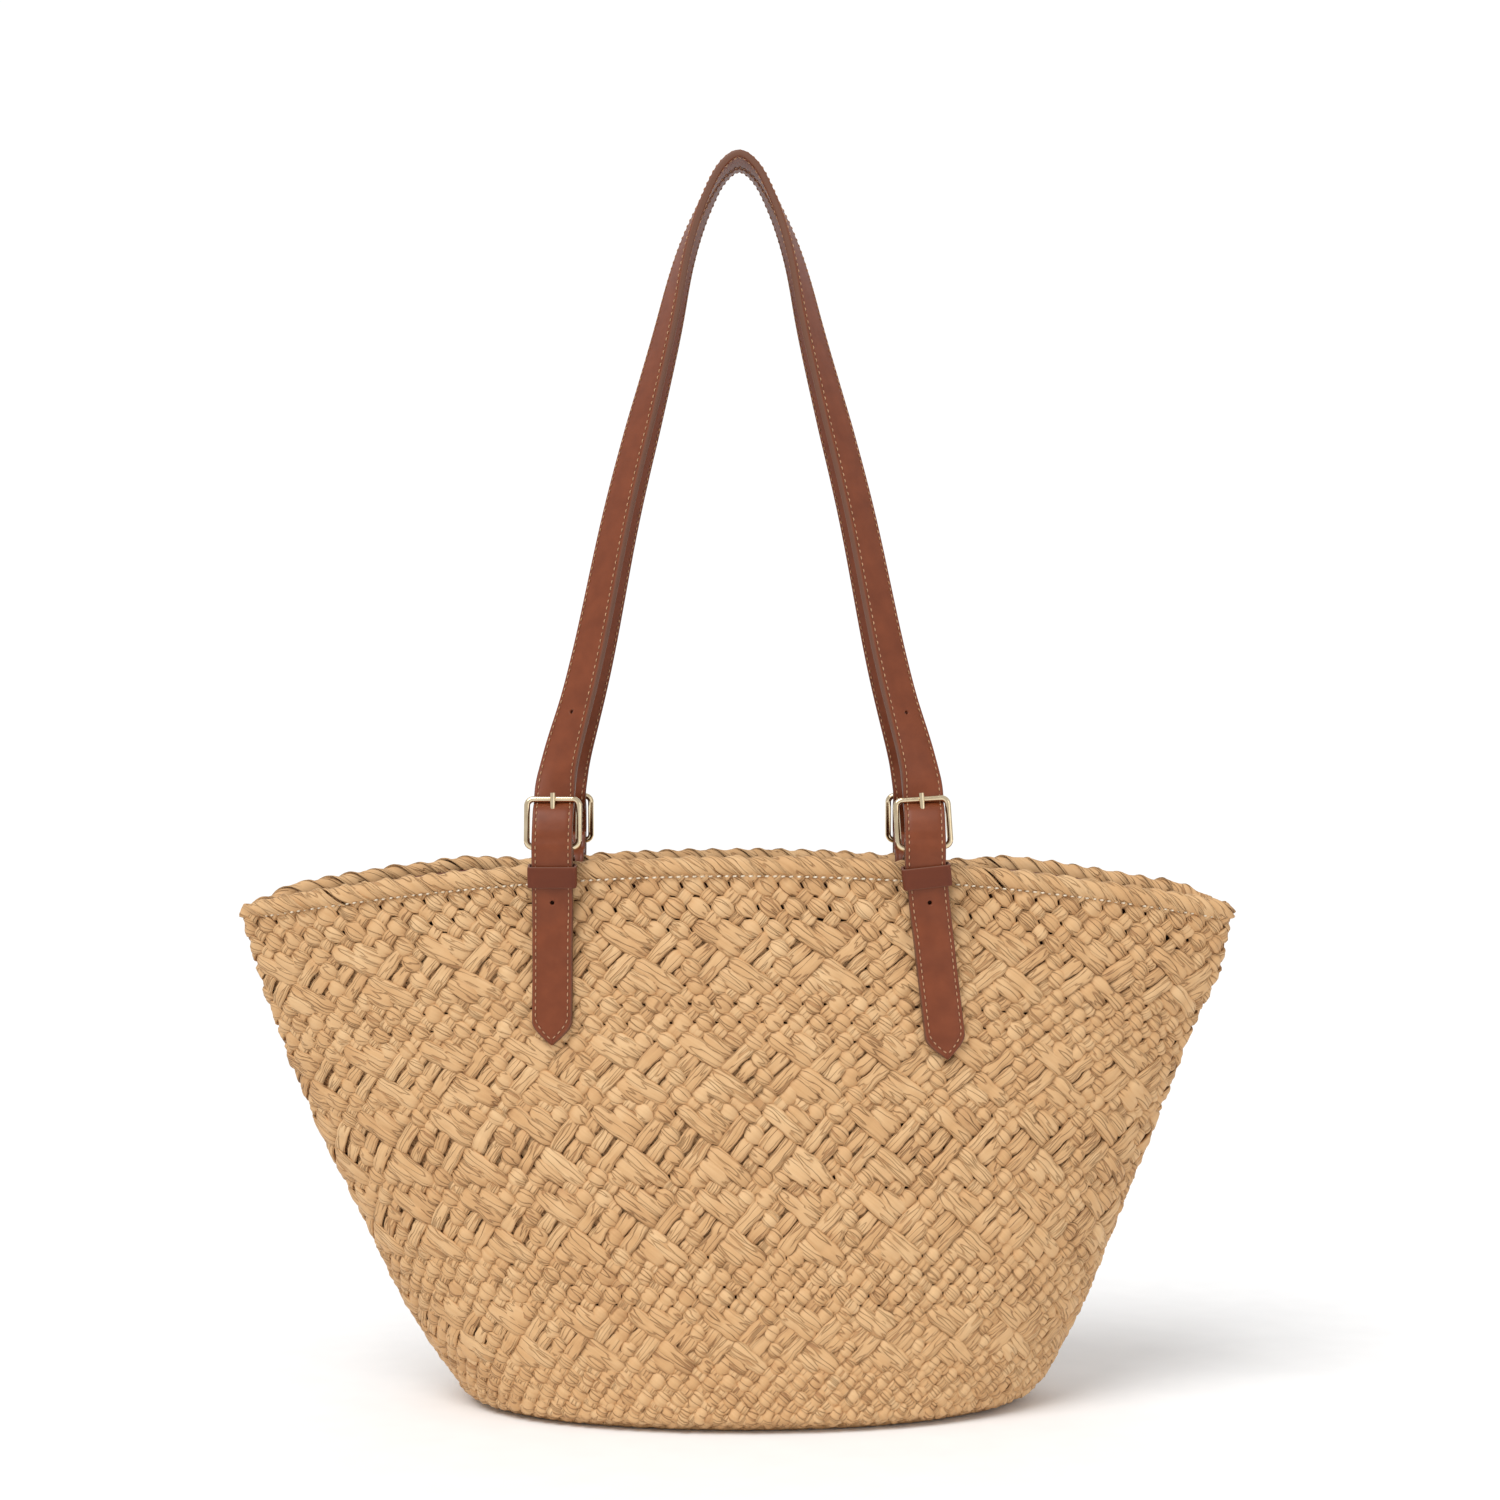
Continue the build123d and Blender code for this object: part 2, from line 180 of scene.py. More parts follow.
COLUMNS = 88
ROWS = 60
ROW_MARKS = (0, 5, 17, 25, 33, 45, 57, 60)
MARK_HEIGHTS = (0.2685, 0.241, 0.1875, 0.153, 0.112, 0.056, 0.009, 0.0034)
COLUMN_LEAN = 0.2
COLUMN_SHIFT = 0.7
BAND_STARTS = {5: 0, 17: 4, 25: 2, 33: 2, 45: 0}
BAND_ROWS = ("1111", "0110", "1010", "0000", "1010", "0110", "1111", "0000")
MID_WALL = 0.0027
UNDER_THICK = 0.0021
PINCH_THICK = 0.0024
FOOT_TOP = 0.007
FOOT_ROLL = 1.286
FOOT_HALF_WIDTH = 0.148
FOOT_HALF_DEPTH = 0.0815
OVAL_POWER = 0.5
LENS_GAIN = 0.42
CRIMP = 0.00125

hem_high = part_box("rim_hem")[1]
rim_top = hem_high[2]
rim_half_width = hem_high[0] - 0.002
rim_drop = 0.0255
seam_height = rim_top - 0.008


def grid_quads(rows, columns, close_rows=False, close_columns=False):
    """Corner numbers of a rows by columns grid of points, row after row."""
    r = np.arange(rows if close_rows else rows - 1)
    c = np.arange(columns if close_columns else columns - 1)
    r, c = np.meshgrid(r, c, indexing="ij")
    r1, c1 = (r + 1) % rows, (c + 1) % columns
    corners = [r * columns + c, r1 * columns + c, r1 * columns + c1, r * columns + c1]
    return np.stack(corners, axis=-1).reshape(-1, 4)


def tubes(name, points, material, uv=None, tone=None):
    """One mesh of many closed strands: points is (strands, samples, round, 3), capped at both ends."""
    strands, samples, ring, _ = points.shape
    first = (np.arange(strands) * samples * ring)[:, None, None]
    quads = (grid_quads(samples, ring, close_columns=True)[None] + first).reshape(-1, 4)
    near = np.arange(ring)[None] + first[:, 0]
    far = near[:, ::-1] + (samples - 1) * ring
    flat_uv = None if uv is None else uv.reshape(-1, 2)
    flat_tone = None if tone is None else tone.reshape(-1)
    return quad_mesh(name, points.reshape(-1, 3), quads, material, flat_uv, flat_tone,
                     np.concatenate([near, far]))


def half_width(z):
    """Half width of the wall: flares up from the base, less and less; the foot rolls in."""
    u = z - FOOT_TOP
    return np.where(u < 0, FOOT_HALF_WIDTH + FOOT_ROLL * u, FOOT_HALF_WIDTH + 0.559 * u - 0.544 * u**2)


def half_depth(z):
    """Half depth of the wall: tapers up from the base to the mouth; the foot rolls in."""
    u = z - FOOT_TOP
    return np.where(u < 0, FOOT_HALF_DEPTH + FOOT_ROLL * u, FOOT_HALF_DEPTH - 0.07 * u - 0.148 * u**2)


def lens_power(z):
    """Power of the plan outline, from 0.5, an ellipse at the base, to 0.92, a lens at the rim."""
    return OVAL_POWER + LENS_GAIN * (np.clip(z, 0, None) / rim_top) ** 1.3


def wall_outline(angle, centre_z, inset, stretch):
    """Wall points at plan angles, on the row that passes centre_z in the middle of a side.

    A row drops to the tips as the rim does, less and less towards the base."""
    x = half_width(centre_z) * np.cos(angle)
    for _ in range(4):
        z = centre_z - rim_drop * (x / rim_half_width) ** 2 * np.clip(centre_z / seam_height, 0, 1.1)
        power = lens_power(z)
        draw = inset * (1 + stretch * (power - OVAL_POWER) / LENS_GAIN)
        x = (half_width(z) - draw) * np.cos(angle)
    y = (half_depth(z) - inset) * np.sign(np.sin(angle)) * np.abs(np.sin(angle)) ** (2 * power)
    return np.stack([x, y, z], axis=-1)


# How far each tip stands out from the plain outline, by height, as the bag settles
TIP_HEIGHTS = (0.0, 0.014, 0.034, 0.055, 0.095, 0.136, 0.177, 0.197, 0.217, 0.240, 0.260)
LEFT_OUT = (-0.0085, -0.0046, -0.0010, 0.0014, 0.0019, 0.0045, 0.0062, 0.0066, 0.0070, 0.0062, 0.0052)
RIGHT_OUT = (-0.0075, 0.0026, 0.0024, 0.0024, -0.0012, -0.0026, -0.0026, -0.0010, 0.0030, 0.0002, -0.0040)
BACK_RISE = 0.0048


def settled_shape(points):
    """The row as it has settled: the tips move out by their tables, weighted by (x / half
    width)^2, and the back of the rim stands a little higher on both sides of the tabs."""
    x, y, z = points[..., 0], points[..., 1], points[..., 2]
    share = np.clip(np.abs(x) / half_width(z), 0, 1) ** 2
    out = np.where(x < 0, -np.interp(z, TIP_HEIGHTS, LEFT_OUT), np.interp(z, TIP_HEIGHTS, RIGHT_OUT))
    high = np.clip((z - 0.17) / 0.07, 0, 1)
    beside = np.clip((np.abs(x) - 0.105) / 0.04, 0, 1) * np.clip((0.250 - np.abs(x)) / 0.03, 0, 1)
    rise = BACK_RISE * high**2 * (3 - 2 * high) * beside**2 * (3 - 2 * beside) * np.clip(y / 0.012, 0, 1)
    return np.stack([x + out * share, y, z + rise], -1)


def even_ring(centre_z, inset, count, round_over=0.003, stretch=0.0):
    """One row as `count` points evenly spaced round the bag, from the middle of the front.

    The tips are rounded by a moving average along the ring."""
    angle = np.linspace(-pi / 2, 1.5 * pi, 2881)
    ring = settled_shape(wall_outline(angle, centre_z, inset, stretch))
    length = np.concatenate([[0], np.cumsum(np.linalg.norm(np.diff(ring, axis=0), axis=1))])
    even = np.linspace(0, length[-1], count, endpoint=False)
    points = np.stack([np.interp(even, length, ring[:, k]) for k in range(3)], axis=-1)
    reach = max(1, int(round(round_over / (length[-1] / count))))
    weights = np.hanning(2 * reach + 3)[1:-1]
    weights /= weights.sum()
    padded = np.concatenate([points[-reach:], points, points[:reach]])
    return np.stack([np.convolve(padded[:, k], weights, "valid") for k in range(3)], axis=-1)


def wall_grid(rows, inset, count):
    """Points and outward normals of the wall on even rings, one ring per height in rows."""
    points = np.stack([even_ring(z, inset, count) for z in rows])
    round_way = np.roll(points, -1, axis=1) - np.roll(points, 1, axis=1)
    down_way = np.gradient(points, axis=0)
    normal = np.cross(down_way, round_way)
    normal /= np.linalg.norm(normal, axis=-1, keepdims=True)
    return points, normal


GRID_STEP = 0.25
GRID_ROWS = np.arange(-1.0, ROWS + 1.01, GRID_STEP)
GRID_COLUMNS = COLUMNS * 8
row_heights = np.interp(GRID_ROWS, (-1.0, *ROW_MARKS, ROWS + 1.0), (0.274, *MARK_HEIGHTS, 0.0022))
mid_points, mid_normals = wall_grid(row_heights, MID_WALL, GRID_COLUMNS)


def on_grid(field, u, v):
    """A grid field at u, a share of the way round, and v, a row number, by straight blending."""
    column = (u % 1.0) * GRID_COLUMNS
    row = np.clip((v - GRID_ROWS[0]) / GRID_STEP, 0, len(GRID_ROWS) - 1.001)
    c0, r0 = np.floor(column).astype(int), np.floor(row).astype(int)
    fc, fr = (column - c0)[..., None], (row - r0)[..., None]
    c0, c1 = c0 % GRID_COLUMNS, (c0 + 1) % GRID_COLUMNS
    low = field[r0, c0] * (1 - fc) + field[r0, c1] * fc
    high = field[r0 + 1, c0] * (1 - fc) + field[r0 + 1, c1] * fc
    return low * (1 - fr) + high * fr


def right_leaning_on_top(i, j):
    """1 where the strand that leans down to the right lies on top, at column i and row j."""
    on_top = (j % 2 == 1).astype(int)
    for start, shift in BAND_STARTS.items():
        local = j - start
        inside = (local >= 0) & (local < 8)
        pattern = np.array([[int(c) for c in row] for row in BAND_ROWS])
        cell = ((i - 1 - shift) % 8) // 2
        on_top = np.where(inside, pattern[np.clip(local, 0, 7), cell], on_top)
    return on_top


def eased(keys, v, puffed=False):
    """Values of (strand, key) at rows v, keys half a row apart, with a smooth step between. A
    puffed value leaves a crossing, an even key, slowly, as sqrt(1 - d^2) of its distance d."""
    where = np.clip((v - GRID_ROWS[0]) * 2, 0, keys.shape[1] - 1.001)
    k = np.floor(where).astype(int)
    f = where - k
    even = k % 2 == 0
    far = np.where(even, f, 1 - f)
    near_crossing = np.sqrt(1 - far**2)
    round_f = np.where(even, 1 - near_crossing, near_crossing)
    f = round_f if puffed else f * f * (3 - 2 * f)
    return keys[:, k] * (1 - f) + keys[:, k + 1] * f


def key_field(at_rows, at_changes):
    """Keys half a row apart: at_rows on the crossings, and between two crossings their mean,
    or at_changes (where it isn't None) if the strand goes from over to under there."""
    strands, rows = at_rows.shape
    keys = np.empty((strands, 2 * rows - 1))
    keys[:, ::2] = at_rows
    keys[:, 1::2] = (at_rows[:, 1:] + at_rows[:, :-1]) / 2 if at_changes is None else at_changes
    return keys


rng = np.random.default_rng(7)
STEPS = 6
CREASE_DEPTH = 0.00021
SIDE_ANGLES = np.radians([0, 20, 42, 66, 90, 114, 138, 160, 180, 236, 304])


def raffia_family(name, lean, widths, thickness, material):
    """One family of strands as four meshes, one for each quarter of the way round.

    widths are those of a lone bead, a long run, an under-crossing and the pinch between them.
    A strand's middle line runs on the mid-wall grid at
    u = (2 k + (COLUMN_LEAN +- 1) v + COLUMN_SHIFT + drift) / (2 COLUMNS), with the plus for a
    right lean, and rises and falls with the plait. Its section is a flattened ring with
    lengthwise creases."""
    number = 2 * np.arange(COLUMNS)
    row = np.arange(-1, ROWS + 2)
    column = number[:, None] + row * (1 if lean > 0 else -1)
    top = right_leaning_on_top(column, np.broadcast_to(row, column.shape))
    over = top if lean > 0 else 1 - top
    shape = over.shape
    change = over[:, 1:] != over[:, :-1]
    level = np.where(over == 1, CRIMP, -CRIMP) + rng.normal(0, 0.00016, shape)
    level_between = (level[:, 1:] + level[:, :-1]) / 2
    both_over = (over[:, 1:] + over[:, :-1]) == 2
    level_between = level_between + np.where(both_over, 0.00035, 0)
    alone = np.ones(shape)
    alone[:, 1:-1] = ((over[:, :-2] + over[:, 2:]) == 0) & (over[:, 1:-1] == 1)
    bead, run, under, pinch = widths
    wide = np.where(over == 1, np.where(alone == 1, bead, run), under) * (1 + rng.normal(0, 0.08, shape))
    wide_between = np.where(change, pinch * (1 + rng.normal(0, 0.1, change.shape)),
                            (wide[:, 1:] + wide[:, :-1]) / 2 * 1.05)
    thick = np.where(over == 1, thickness, UNDER_THICK) * (1 + rng.normal(0, 0.06, shape))
    thick_between = np.where(change, PINCH_THICK, thickness * 0.94)
    drift = rng.normal(0, 0.05, shape)
    bead_tone = rng.normal(0, 0.055, shape) + rng.normal(0, 0.05, (COLUMNS, 1))
    v = np.linspace(-0.75, ROWS + 0.6, (ROWS + 1) * STEPS + 1)
    height = eased(key_field(level, level_between), v)
    width_at = eased(key_field(wide, wide_between), v, True)
    thick_at = eased(key_field(thick, thick_between), v, True)
    tone_at = eased(key_field(bead_tone, None), v)
    foot = np.clip((ROWS + 0.6 - v) / 2.5, 0.35, 1)
    height = height * foot - 0.0006 * (1 - foot)
    ends = np.ones_like(v)
    ends[[0, -1]] = 0.02
    slope = (1 + COLUMN_LEAN) if lean > 0 else (-1 + COLUMN_LEAN)
    along_u = (number[:, None] + slope * v + COLUMN_SHIFT + eased(key_field(drift, None), v)) / (2 * COLUMNS)
    base = on_grid(mid_points, along_u, np.broadcast_to(v, along_u.shape))
    normal = on_grid(mid_normals, along_u, np.broadcast_to(v, along_u.shape))
    normal /= np.linalg.norm(normal, axis=-1, keepdims=True)
    centre = base + normal * height[..., None]
    along = np.gradient(centre, axis=1)
    step = np.linalg.norm(along, axis=-1)
    along /= step[..., None]
    across = np.cross(along, normal)
    across /= np.linalg.norm(across, axis=-1, keepdims=True)
    face = np.cross(across, along)
    crease_keys = rng.normal(0, 1, (COLUMNS, 2 * len(row) - 1, len(SIDE_ANGLES)))
    steady = rng.normal(0, 1, (COLUMNS, 1, len(SIDE_ANGLES)))
    where = np.clip((v - GRID_ROWS[0]) * 2, 0, crease_keys.shape[1] - 1.001)
    k = np.floor(where).astype(int)
    f = (where - k)[None, :, None]
    crease = crease_keys[:, k] * (1 - f) + crease_keys[:, k + 1] * f
    crease = CREASE_DEPTH * (0.7 * crease + 0.7 * steady)
    c, s = np.cos(SIDE_ANGLES), np.sin(SIDE_ANGLES)
    lateral = np.sign(c) * np.abs(c) ** 0.8 * (width_at * ends / 2)[..., None]
    lift = np.sign(s) * np.abs(s) ** 0.85 * (thick_at * ends / 2)[..., None]
    lift = lift + crease * ends[None, :, None] * (s > 0)
    points = centre[:, :, None] + across[:, :, None] * lateral[..., None]
    points = points + face[:, :, None] * lift[..., None]
    length = np.concatenate([np.zeros((COLUMNS, 1)), np.cumsum(step[:, :-1], axis=1)], axis=1)
    girth = np.cumsum(np.concatenate([[0], np.full(len(SIDE_ANGLES) - 1, 1.5)])) * 0.1
    u_map = np.broadcast_to(girth + rng.uniform(0, 50, (COLUMNS, 1, 1)), points.shape[:3])
    v_map = np.broadcast_to(length[..., None] * 100 + rng.uniform(0, 50, (COLUMNS, 1, 1)), points.shape[:3])
    uv = np.stack([u_map, v_map], axis=-1)
    # painted shade: the tone drops on each strand's sides and underside, and where the strand dips under the
    # other family
    edge_shade = np.clip(1 - s / 0.7, 0, 1) ** 1.5
    depth_shade = np.clip(0.5 - height / CRIMP, 0, 1)
    tone = 0.55 + tone_at[..., None] - 0.34 * edge_shade - 0.16 * depth_shade[..., None]
    quarter = COLUMNS // 4
    for part in range(4):
        chosen = slice(part * quarter, (part + 1) * quarter)
        piece = tubes(f"{name}_{part + 1}", points[chosen], material, uv[chosen], tone[chosen])
        place(piece, "bag", "raffia", "woven_wall")


def raffia_material():
    """Straw-coloured crinkled paper. Streaks run along the strand and close up where it is
    pinched; thin folds, where a stretched noise passes its middle value, are sunk in and
    darkened with painted shade."""
    material = bpy.data.materials.new("raffia")
    material.use_nodes = True
    nodes, links = material.node_tree.nodes, material.node_tree.links
    shader = nodes["Principled BSDF"]
    shader.inputs["Specular IOR Level"].default_value = 0.3
    uv = nodes.new("ShaderNodeUVMap")
    uv.uv_map = "surface"

    def streaks(across, along, detail):
        stretch = nodes.new("ShaderNodeMapping")
        stretch.inputs["Scale"].default_value = (across, along, 1)
        noise = nodes.new("ShaderNodeTexNoise")
        noise.inputs["Scale"].default_value = 1.0
        noise.inputs["Detail"].default_value = detail
        links.new(uv.outputs["UV"], stretch.inputs["Vector"])
        links.new(stretch.outputs["Vector"], noise.inputs["Vector"])
        return noise.outputs["Fac"]

    def sum_of(a, weight, b):
        total = nodes.new("ShaderNodeMath")
        total.operation = "MULTIPLY_ADD"
        total.inputs[1].default_value = weight
        links.new(a, total.inputs[0])
        links.new(b, total.inputs[2])
        return total.outputs[0]

    def folds(across, along, breadth):
        middle = nodes.new("ShaderNodeMath")
        middle.operation = "SUBTRACT"
        middle.inputs[1].default_value = 0.5
        away = nodes.new("ShaderNodeMath")
        away.operation = "ABSOLUTE"
        spread = nodes.new("ShaderNodeMapRange")
        spread.interpolation_type = "SMOOTHSTEP"
        spread.inputs["From Max"].default_value = breadth
        links.new(streaks(across, along, 1.0), middle.inputs[0])
        links.new(middle.outputs[0], away.inputs[0])
        links.new(away.outputs[0], spread.inputs["Value"])
        return spread.outputs["Result"]

    fine = streaks(11.0, 0.5, 3.0)
    broad = streaks(3.0, 0.6, 2.0)
    fold = folds(4.6, 0.45, 0.032)
    tone = nodes.new("ShaderNodeAttribute")
    tone.attribute_name = "tone"
    # random streaks and tone, plus painted shade: the folds and the tone's darkened sides and hollows pull
    # the value down
    streaks_and_shade = sum_of(fine, 0.34, sum_of(broad, 0.25, sum_of(fold, 0.30, tone.outputs["Fac"])))
    ramp = nodes.new("ShaderNodeValToRGB")
    stops = ramp.color_ramp.elements
    scaled = nodes.new("ShaderNodeMapRange")
    scaled.inputs["From Min"].default_value = 0.45
    scaled.inputs["From Max"].default_value = 1.45
    links.new(streaks_and_shade, scaled.inputs["Value"])
    # the low stops are mostly reached through painted shade in the folds, sides and hollows
    stops[0].position, stops[0].color = 0.08, (0.19, 0.085, 0.034, 1)
    stops[1].position, stops[1].color = 1.0, (0.72, 0.48, 0.255, 1)
    low = stops.new(0.35)
    low.color = (0.43, 0.225, 0.095, 1)
    middle = stops.new(0.62)
    middle.color = (0.59, 0.345, 0.158, 1)
    links.new(scaled.outputs["Result"], ramp.inputs["Fac"])
    links.new(ramp.outputs["Color"], shader.inputs["Base Color"])
    gloss = nodes.new("ShaderNodeMapRange")
    gloss.inputs["To Min"].default_value = 0.72
    gloss.inputs["To Max"].default_value = 0.5
    links.new(fine, gloss.inputs["Value"])
    links.new(gloss.outputs["Result"], shader.inputs["Roughness"])
    bump = nodes.new("ShaderNodeBump")
    bump.inputs["Strength"].default_value = 0.9
    bump.inputs["Distance"].default_value = 0.0007
    links.new(sum_of(fine, 0.45, sum_of(broad, 0.8, fold)), bump.inputs["Height"])
    links.new(bump.outputs["Normal"], shader.inputs["Normal"])
    return material


raffia = raffia_material()
raffia_family("right_leaning_raffia", 1, (0.0097, 0.0086, 0.0064, 0.0050), 0.0032, raffia)
raffia_family("left_leaning_raffia", -1, (0.0074, 0.0072, 0.0064, 0.0054), 0.0026, raffia)


# The hem
# The strand ends turned over the rim and wrapped along it like a rope, 88 wraps round.

HEM_SWEEP = 3.0
HEM_HALF_HEIGHT = 0.0038
HEM_HALF_THICK = 0.0033
HEM_DROP = 0.0048
HEM_SAMPLES = 40
HEM_WRAP_WIDTH = 0.0086
HEM_WRAP_THICK = 0.0017
HEM_TAPER = 0.026
HEM_TIP_SHARE = 0.5

rim_u = np.linspace(0, 1, 1056, endpoint=False)
hem_ring = even_ring(rim_top - HEM_DROP, 0.0025, len(rim_u))
hem_along = np.roll(hem_ring, -1, axis=0) - np.roll(hem_ring, 1, axis=0)
hem_along /= np.linalg.norm(hem_along, axis=1, keepdims=True)
hem_out = np.cross(hem_along, (0, 0, 1))
hem_out /= np.linalg.norm(hem_out, axis=1, keepdims=True)
hem_up = np.cross(hem_out, hem_along)


def round_ring(field, u):
    """A field on the hem ring at u, a share of the way round."""
    at = (u % 1.0) * len(rim_u)
    low = np.floor(at).astype(int)
    f = (at - low)[..., None]
    return field[low % len(rim_u)] * (1 - f) + field[(low + 1) % len(rim_u)] * f


def hem_wraps(material):
    """Each wrap goes once round the rim's oval core while it moves HEM_SWEEP columns along.

    The wraps are slimmer towards the two tips of the rim."""
    turn = np.linspace(0, 1, HEM_SAMPLES)
    wrap = np.arange(COLUMNS)[:, None]
    around = 2 * pi * turn - pi * 0.62
    u = (wrap - HEM_SWEEP * turn + rng.normal(0, 0.06, (COLUMNS, 1))) / COLUMNS
    centre = round_ring(hem_ring, u)
    out, up = round_ring(hem_out, u), round_ring(hem_up, u)
    swell = 1 + rng.normal(0, 0.05, (COLUMNS, 1))
    from_tip = np.clip((np.abs(hem_ring[:, 0]).max() - np.abs(centre[..., 0])) / HEM_TAPER, 0, 1)
    slim = HEM_TIP_SHARE + (1 - HEM_TIP_SHARE) * from_tip * (2 - from_tip)
    swell = swell * slim
    ring_out = np.cos(around) * HEM_HALF_THICK * swell
    ring_up = np.sin(around) * HEM_HALF_HEIGHT * swell
    core = centre - out * ring_out[..., None] * -1 + up * ring_up[..., None]
    radial = out * (np.cos(around) / HEM_HALF_THICK)[..., None]
    radial = radial + up * (np.sin(around) / HEM_HALF_HEIGHT)[..., None]
    radial /= np.linalg.norm(radial, axis=-1, keepdims=True)
    path = np.gradient(core, axis=1)
    step = np.linalg.norm(path, axis=-1)
    path /= step[..., None]
    across = np.cross(path, radial)
    across /= np.linalg.norm(across, axis=-1, keepdims=True)
    c, s = np.cos(SIDE_ANGLES), np.sin(SIDE_ANGLES)
    ends = np.ones(HEM_SAMPLES)
    ends[[0, -1]] = 0.05
    width = (HEM_WRAP_WIDTH + rng.normal(0, 0.0005, (COLUMNS, 1))) * ends * (0.4 + 0.6 * slim)
    thick = HEM_WRAP_THICK * ends
    sides = len(SIDE_ANGLES)
    crease = rng.normal(0, 0.00012, (COLUMNS, 1, sides))
    crease = crease + rng.normal(0, 0.00005, (COLUMNS, HEM_SAMPLES, sides))
    lateral = np.sign(c) * np.abs(c) ** 0.75 * width[..., None] / 2
    lift = np.sign(s) * np.abs(s) ** 0.85 * thick[..., None] / 2 + crease * (s > 0) * ends[None, :, None]
    shingle = lateral * 0.10
    points = core[:, :, None] + across[:, :, None] * lateral[..., None]
    points = points + radial[:, :, None] * (lift + shingle)[..., None]
    length = np.cumsum(step, axis=1)
    girth = np.arange(len(SIDE_ANGLES)) * 0.15
    u_map = np.broadcast_to(girth + rng.uniform(0, 50, (COLUMNS, 1, 1)), points.shape[:3])
    v_map = np.broadcast_to(length[..., None] * 100, points.shape[:3])
    tone = np.broadcast_to(0.54 + rng.normal(0, 0.05, (COLUMNS, 1, 1)), points.shape[:3])
    return tubes("rim_wraps", points, material, np.stack([u_map, v_map], -1), tone)


place(hem_wraps(raffia), "bag", "raffia_hem", "rim_hem")


# The woven base
# A flat oval mat of the same raffia, plaited over and under, closed under the wall's foot.

MAT_STRIP = 0.008
MAT_RINGS = 50
MAT_TURNS = 320
base_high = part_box("woven_base")[1]


def woven_mat(material):
    """An oval disc, points (a r cos t, b r sin t): its top and bottom heights are the larger or
    smaller swell |cos| of two crossing families of strips, swapped from square to square."""
    r = np.concatenate([[0.0005], np.linspace(0.015, 1, MAT_RINGS)])[:, None]
    t = np.linspace(0, 2 * pi, MAT_TURNS, endpoint=False)[None]
    x = (base_high[0] - 0.0005) * r * np.cos(t)
    y = (base_high[1] - 0.0005) * r * np.sin(t)
    p, q = (x + y) / MAT_STRIP / 1.414, (x - y) / MAT_STRIP / 1.414
    swell_p = np.abs(np.cos(pi * (p % 1 - 0.5))) ** 0.5
    swell_q = np.abs(np.cos(pi * (q % 1 - 0.5))) ** 0.5
    on_top = (np.floor(p) + np.floor(q)) % 2
    high = np.where(on_top == 1, swell_p, swell_q)
    low = np.where(on_top == 1, swell_q, swell_p)
    edge = 1 - np.clip((r - 0.96) / 0.04, 0, 1) ** 2
    top = 0.0031 + (0.0004 + 0.0012 * high) * edge
    bottom = 0.0017 - (0.0004 + 0.0012 * low) * edge
    upper = settled_shape(np.stack([x, y, top], -1))
    lower = settled_shape(np.stack([x, y, bottom], -1))[::-1]
    points = np.concatenate([upper, lower]).reshape(-1, 3)
    quads = grid_quads(2 * (MAT_RINGS + 1), MAT_TURNS, close_columns=True)
    ends = np.stack([np.arange(MAT_TURNS), np.arange(MAT_TURNS)[::-1] + len(points) - MAT_TURNS])
    uv = np.stack([(p * MAT_STRIP * 100), (q * MAT_STRIP * 100)], -1)
    uv = np.concatenate([uv, uv[::-1]]).reshape(-1, 2)
    # painted shade: the tone follows the swell of the strip on top and darkens where it falls away between
    # strips
    tone = np.concatenate([0.3 + 0.3 * high, (0.3 + 0.3 * low)[::-1]]).reshape(-1)
    return quad_mesh("plaited_base", points, quads, material, uv, tone, ends)


place(woven_mat(raffia), "bag", "raffia", "woven_base")


# The rim seam
# Cream machine stitches just below the hem, one row outside on the wall and one inside on the
# facing, each stitch a short arch of thread that dips at both ends. None go round the tips.

SEAM_PITCH = 0.0038
SEAM_STITCH = 0.0026
SEAM_END = 0.012
SEAM_THREAD = 0.0009
SEAM_BELOW_RIM = 0.0092
SEAM_LINES = (("rim_seam_outside", -0.0009, 0.0, 1), ("rim_seam_inside", 0.0084, 1.6, -1))
STITCH_RINGS = 5
STITCH_ROUND = 6


def thread_material(name, dark, light, hole_shade):
    """Twisted cotton thread: a fine noise between two shades, matt with a little sheen, and the
    needle hole's painted shade where the attribute tone falls to 0 at a stitch's ends."""
    material = bpy.data.materials.new(name)
    material.use_nodes = True
    nodes, links = material.node_tree.nodes, material.node_tree.links
    shader = nodes["Principled BSDF"]
    shader.inputs["Roughness"].default_value = 0.7
    shader.inputs["Sheen Weight"].default_value = 0.15
    coordinates = nodes.new("ShaderNodeTexCoord")
    noise = nodes.new("ShaderNodeTexNoise")
    noise.inputs["Scale"].default_value = 900.0
    noise.inputs["Detail"].default_value = 2.0
    ramp = nodes.new("ShaderNodeValToRGB")
    ramp.color_ramp.elements[0].position = 0.3
    ramp.color_ramp.elements[0].color = (*dark, 1)
    ramp.color_ramp.elements[1].position = 0.7
    ramp.color_ramp.elements[1].color = (*light, 1)
    bump = nodes.new("ShaderNodeBump")
    bump.inputs["Strength"].default_value = 0.4
    bump.inputs["Distance"].default_value = 0.0002
    links.new(coordinates.outputs["Object"], noise.inputs["Vector"])
    links.new(noise.outputs["Fac"], ramp.inputs["Fac"])
    links.new(noise.outputs["Fac"], bump.inputs["Height"])
    tone = nodes.new("ShaderNodeAttribute")
    tone.attribute_name = "tone"
    mix = nodes.new("ShaderNodeMix")
    mix.data_type = "RGBA"
    # painted shade of the needle hole at a stitch's ends
    mix.inputs["A"].default_value = (*hole_shade, 1)
    links.new(tone.outputs["Fac"], mix.inputs["Factor"])
    links.new(ramp.outputs["Color"], mix.inputs["B"])
    links.new(mix.outputs["Result"], shader.inputs["Base Color"])
    links.new(bump.outputs["Normal"], shader.inputs["Normal"])
    return material


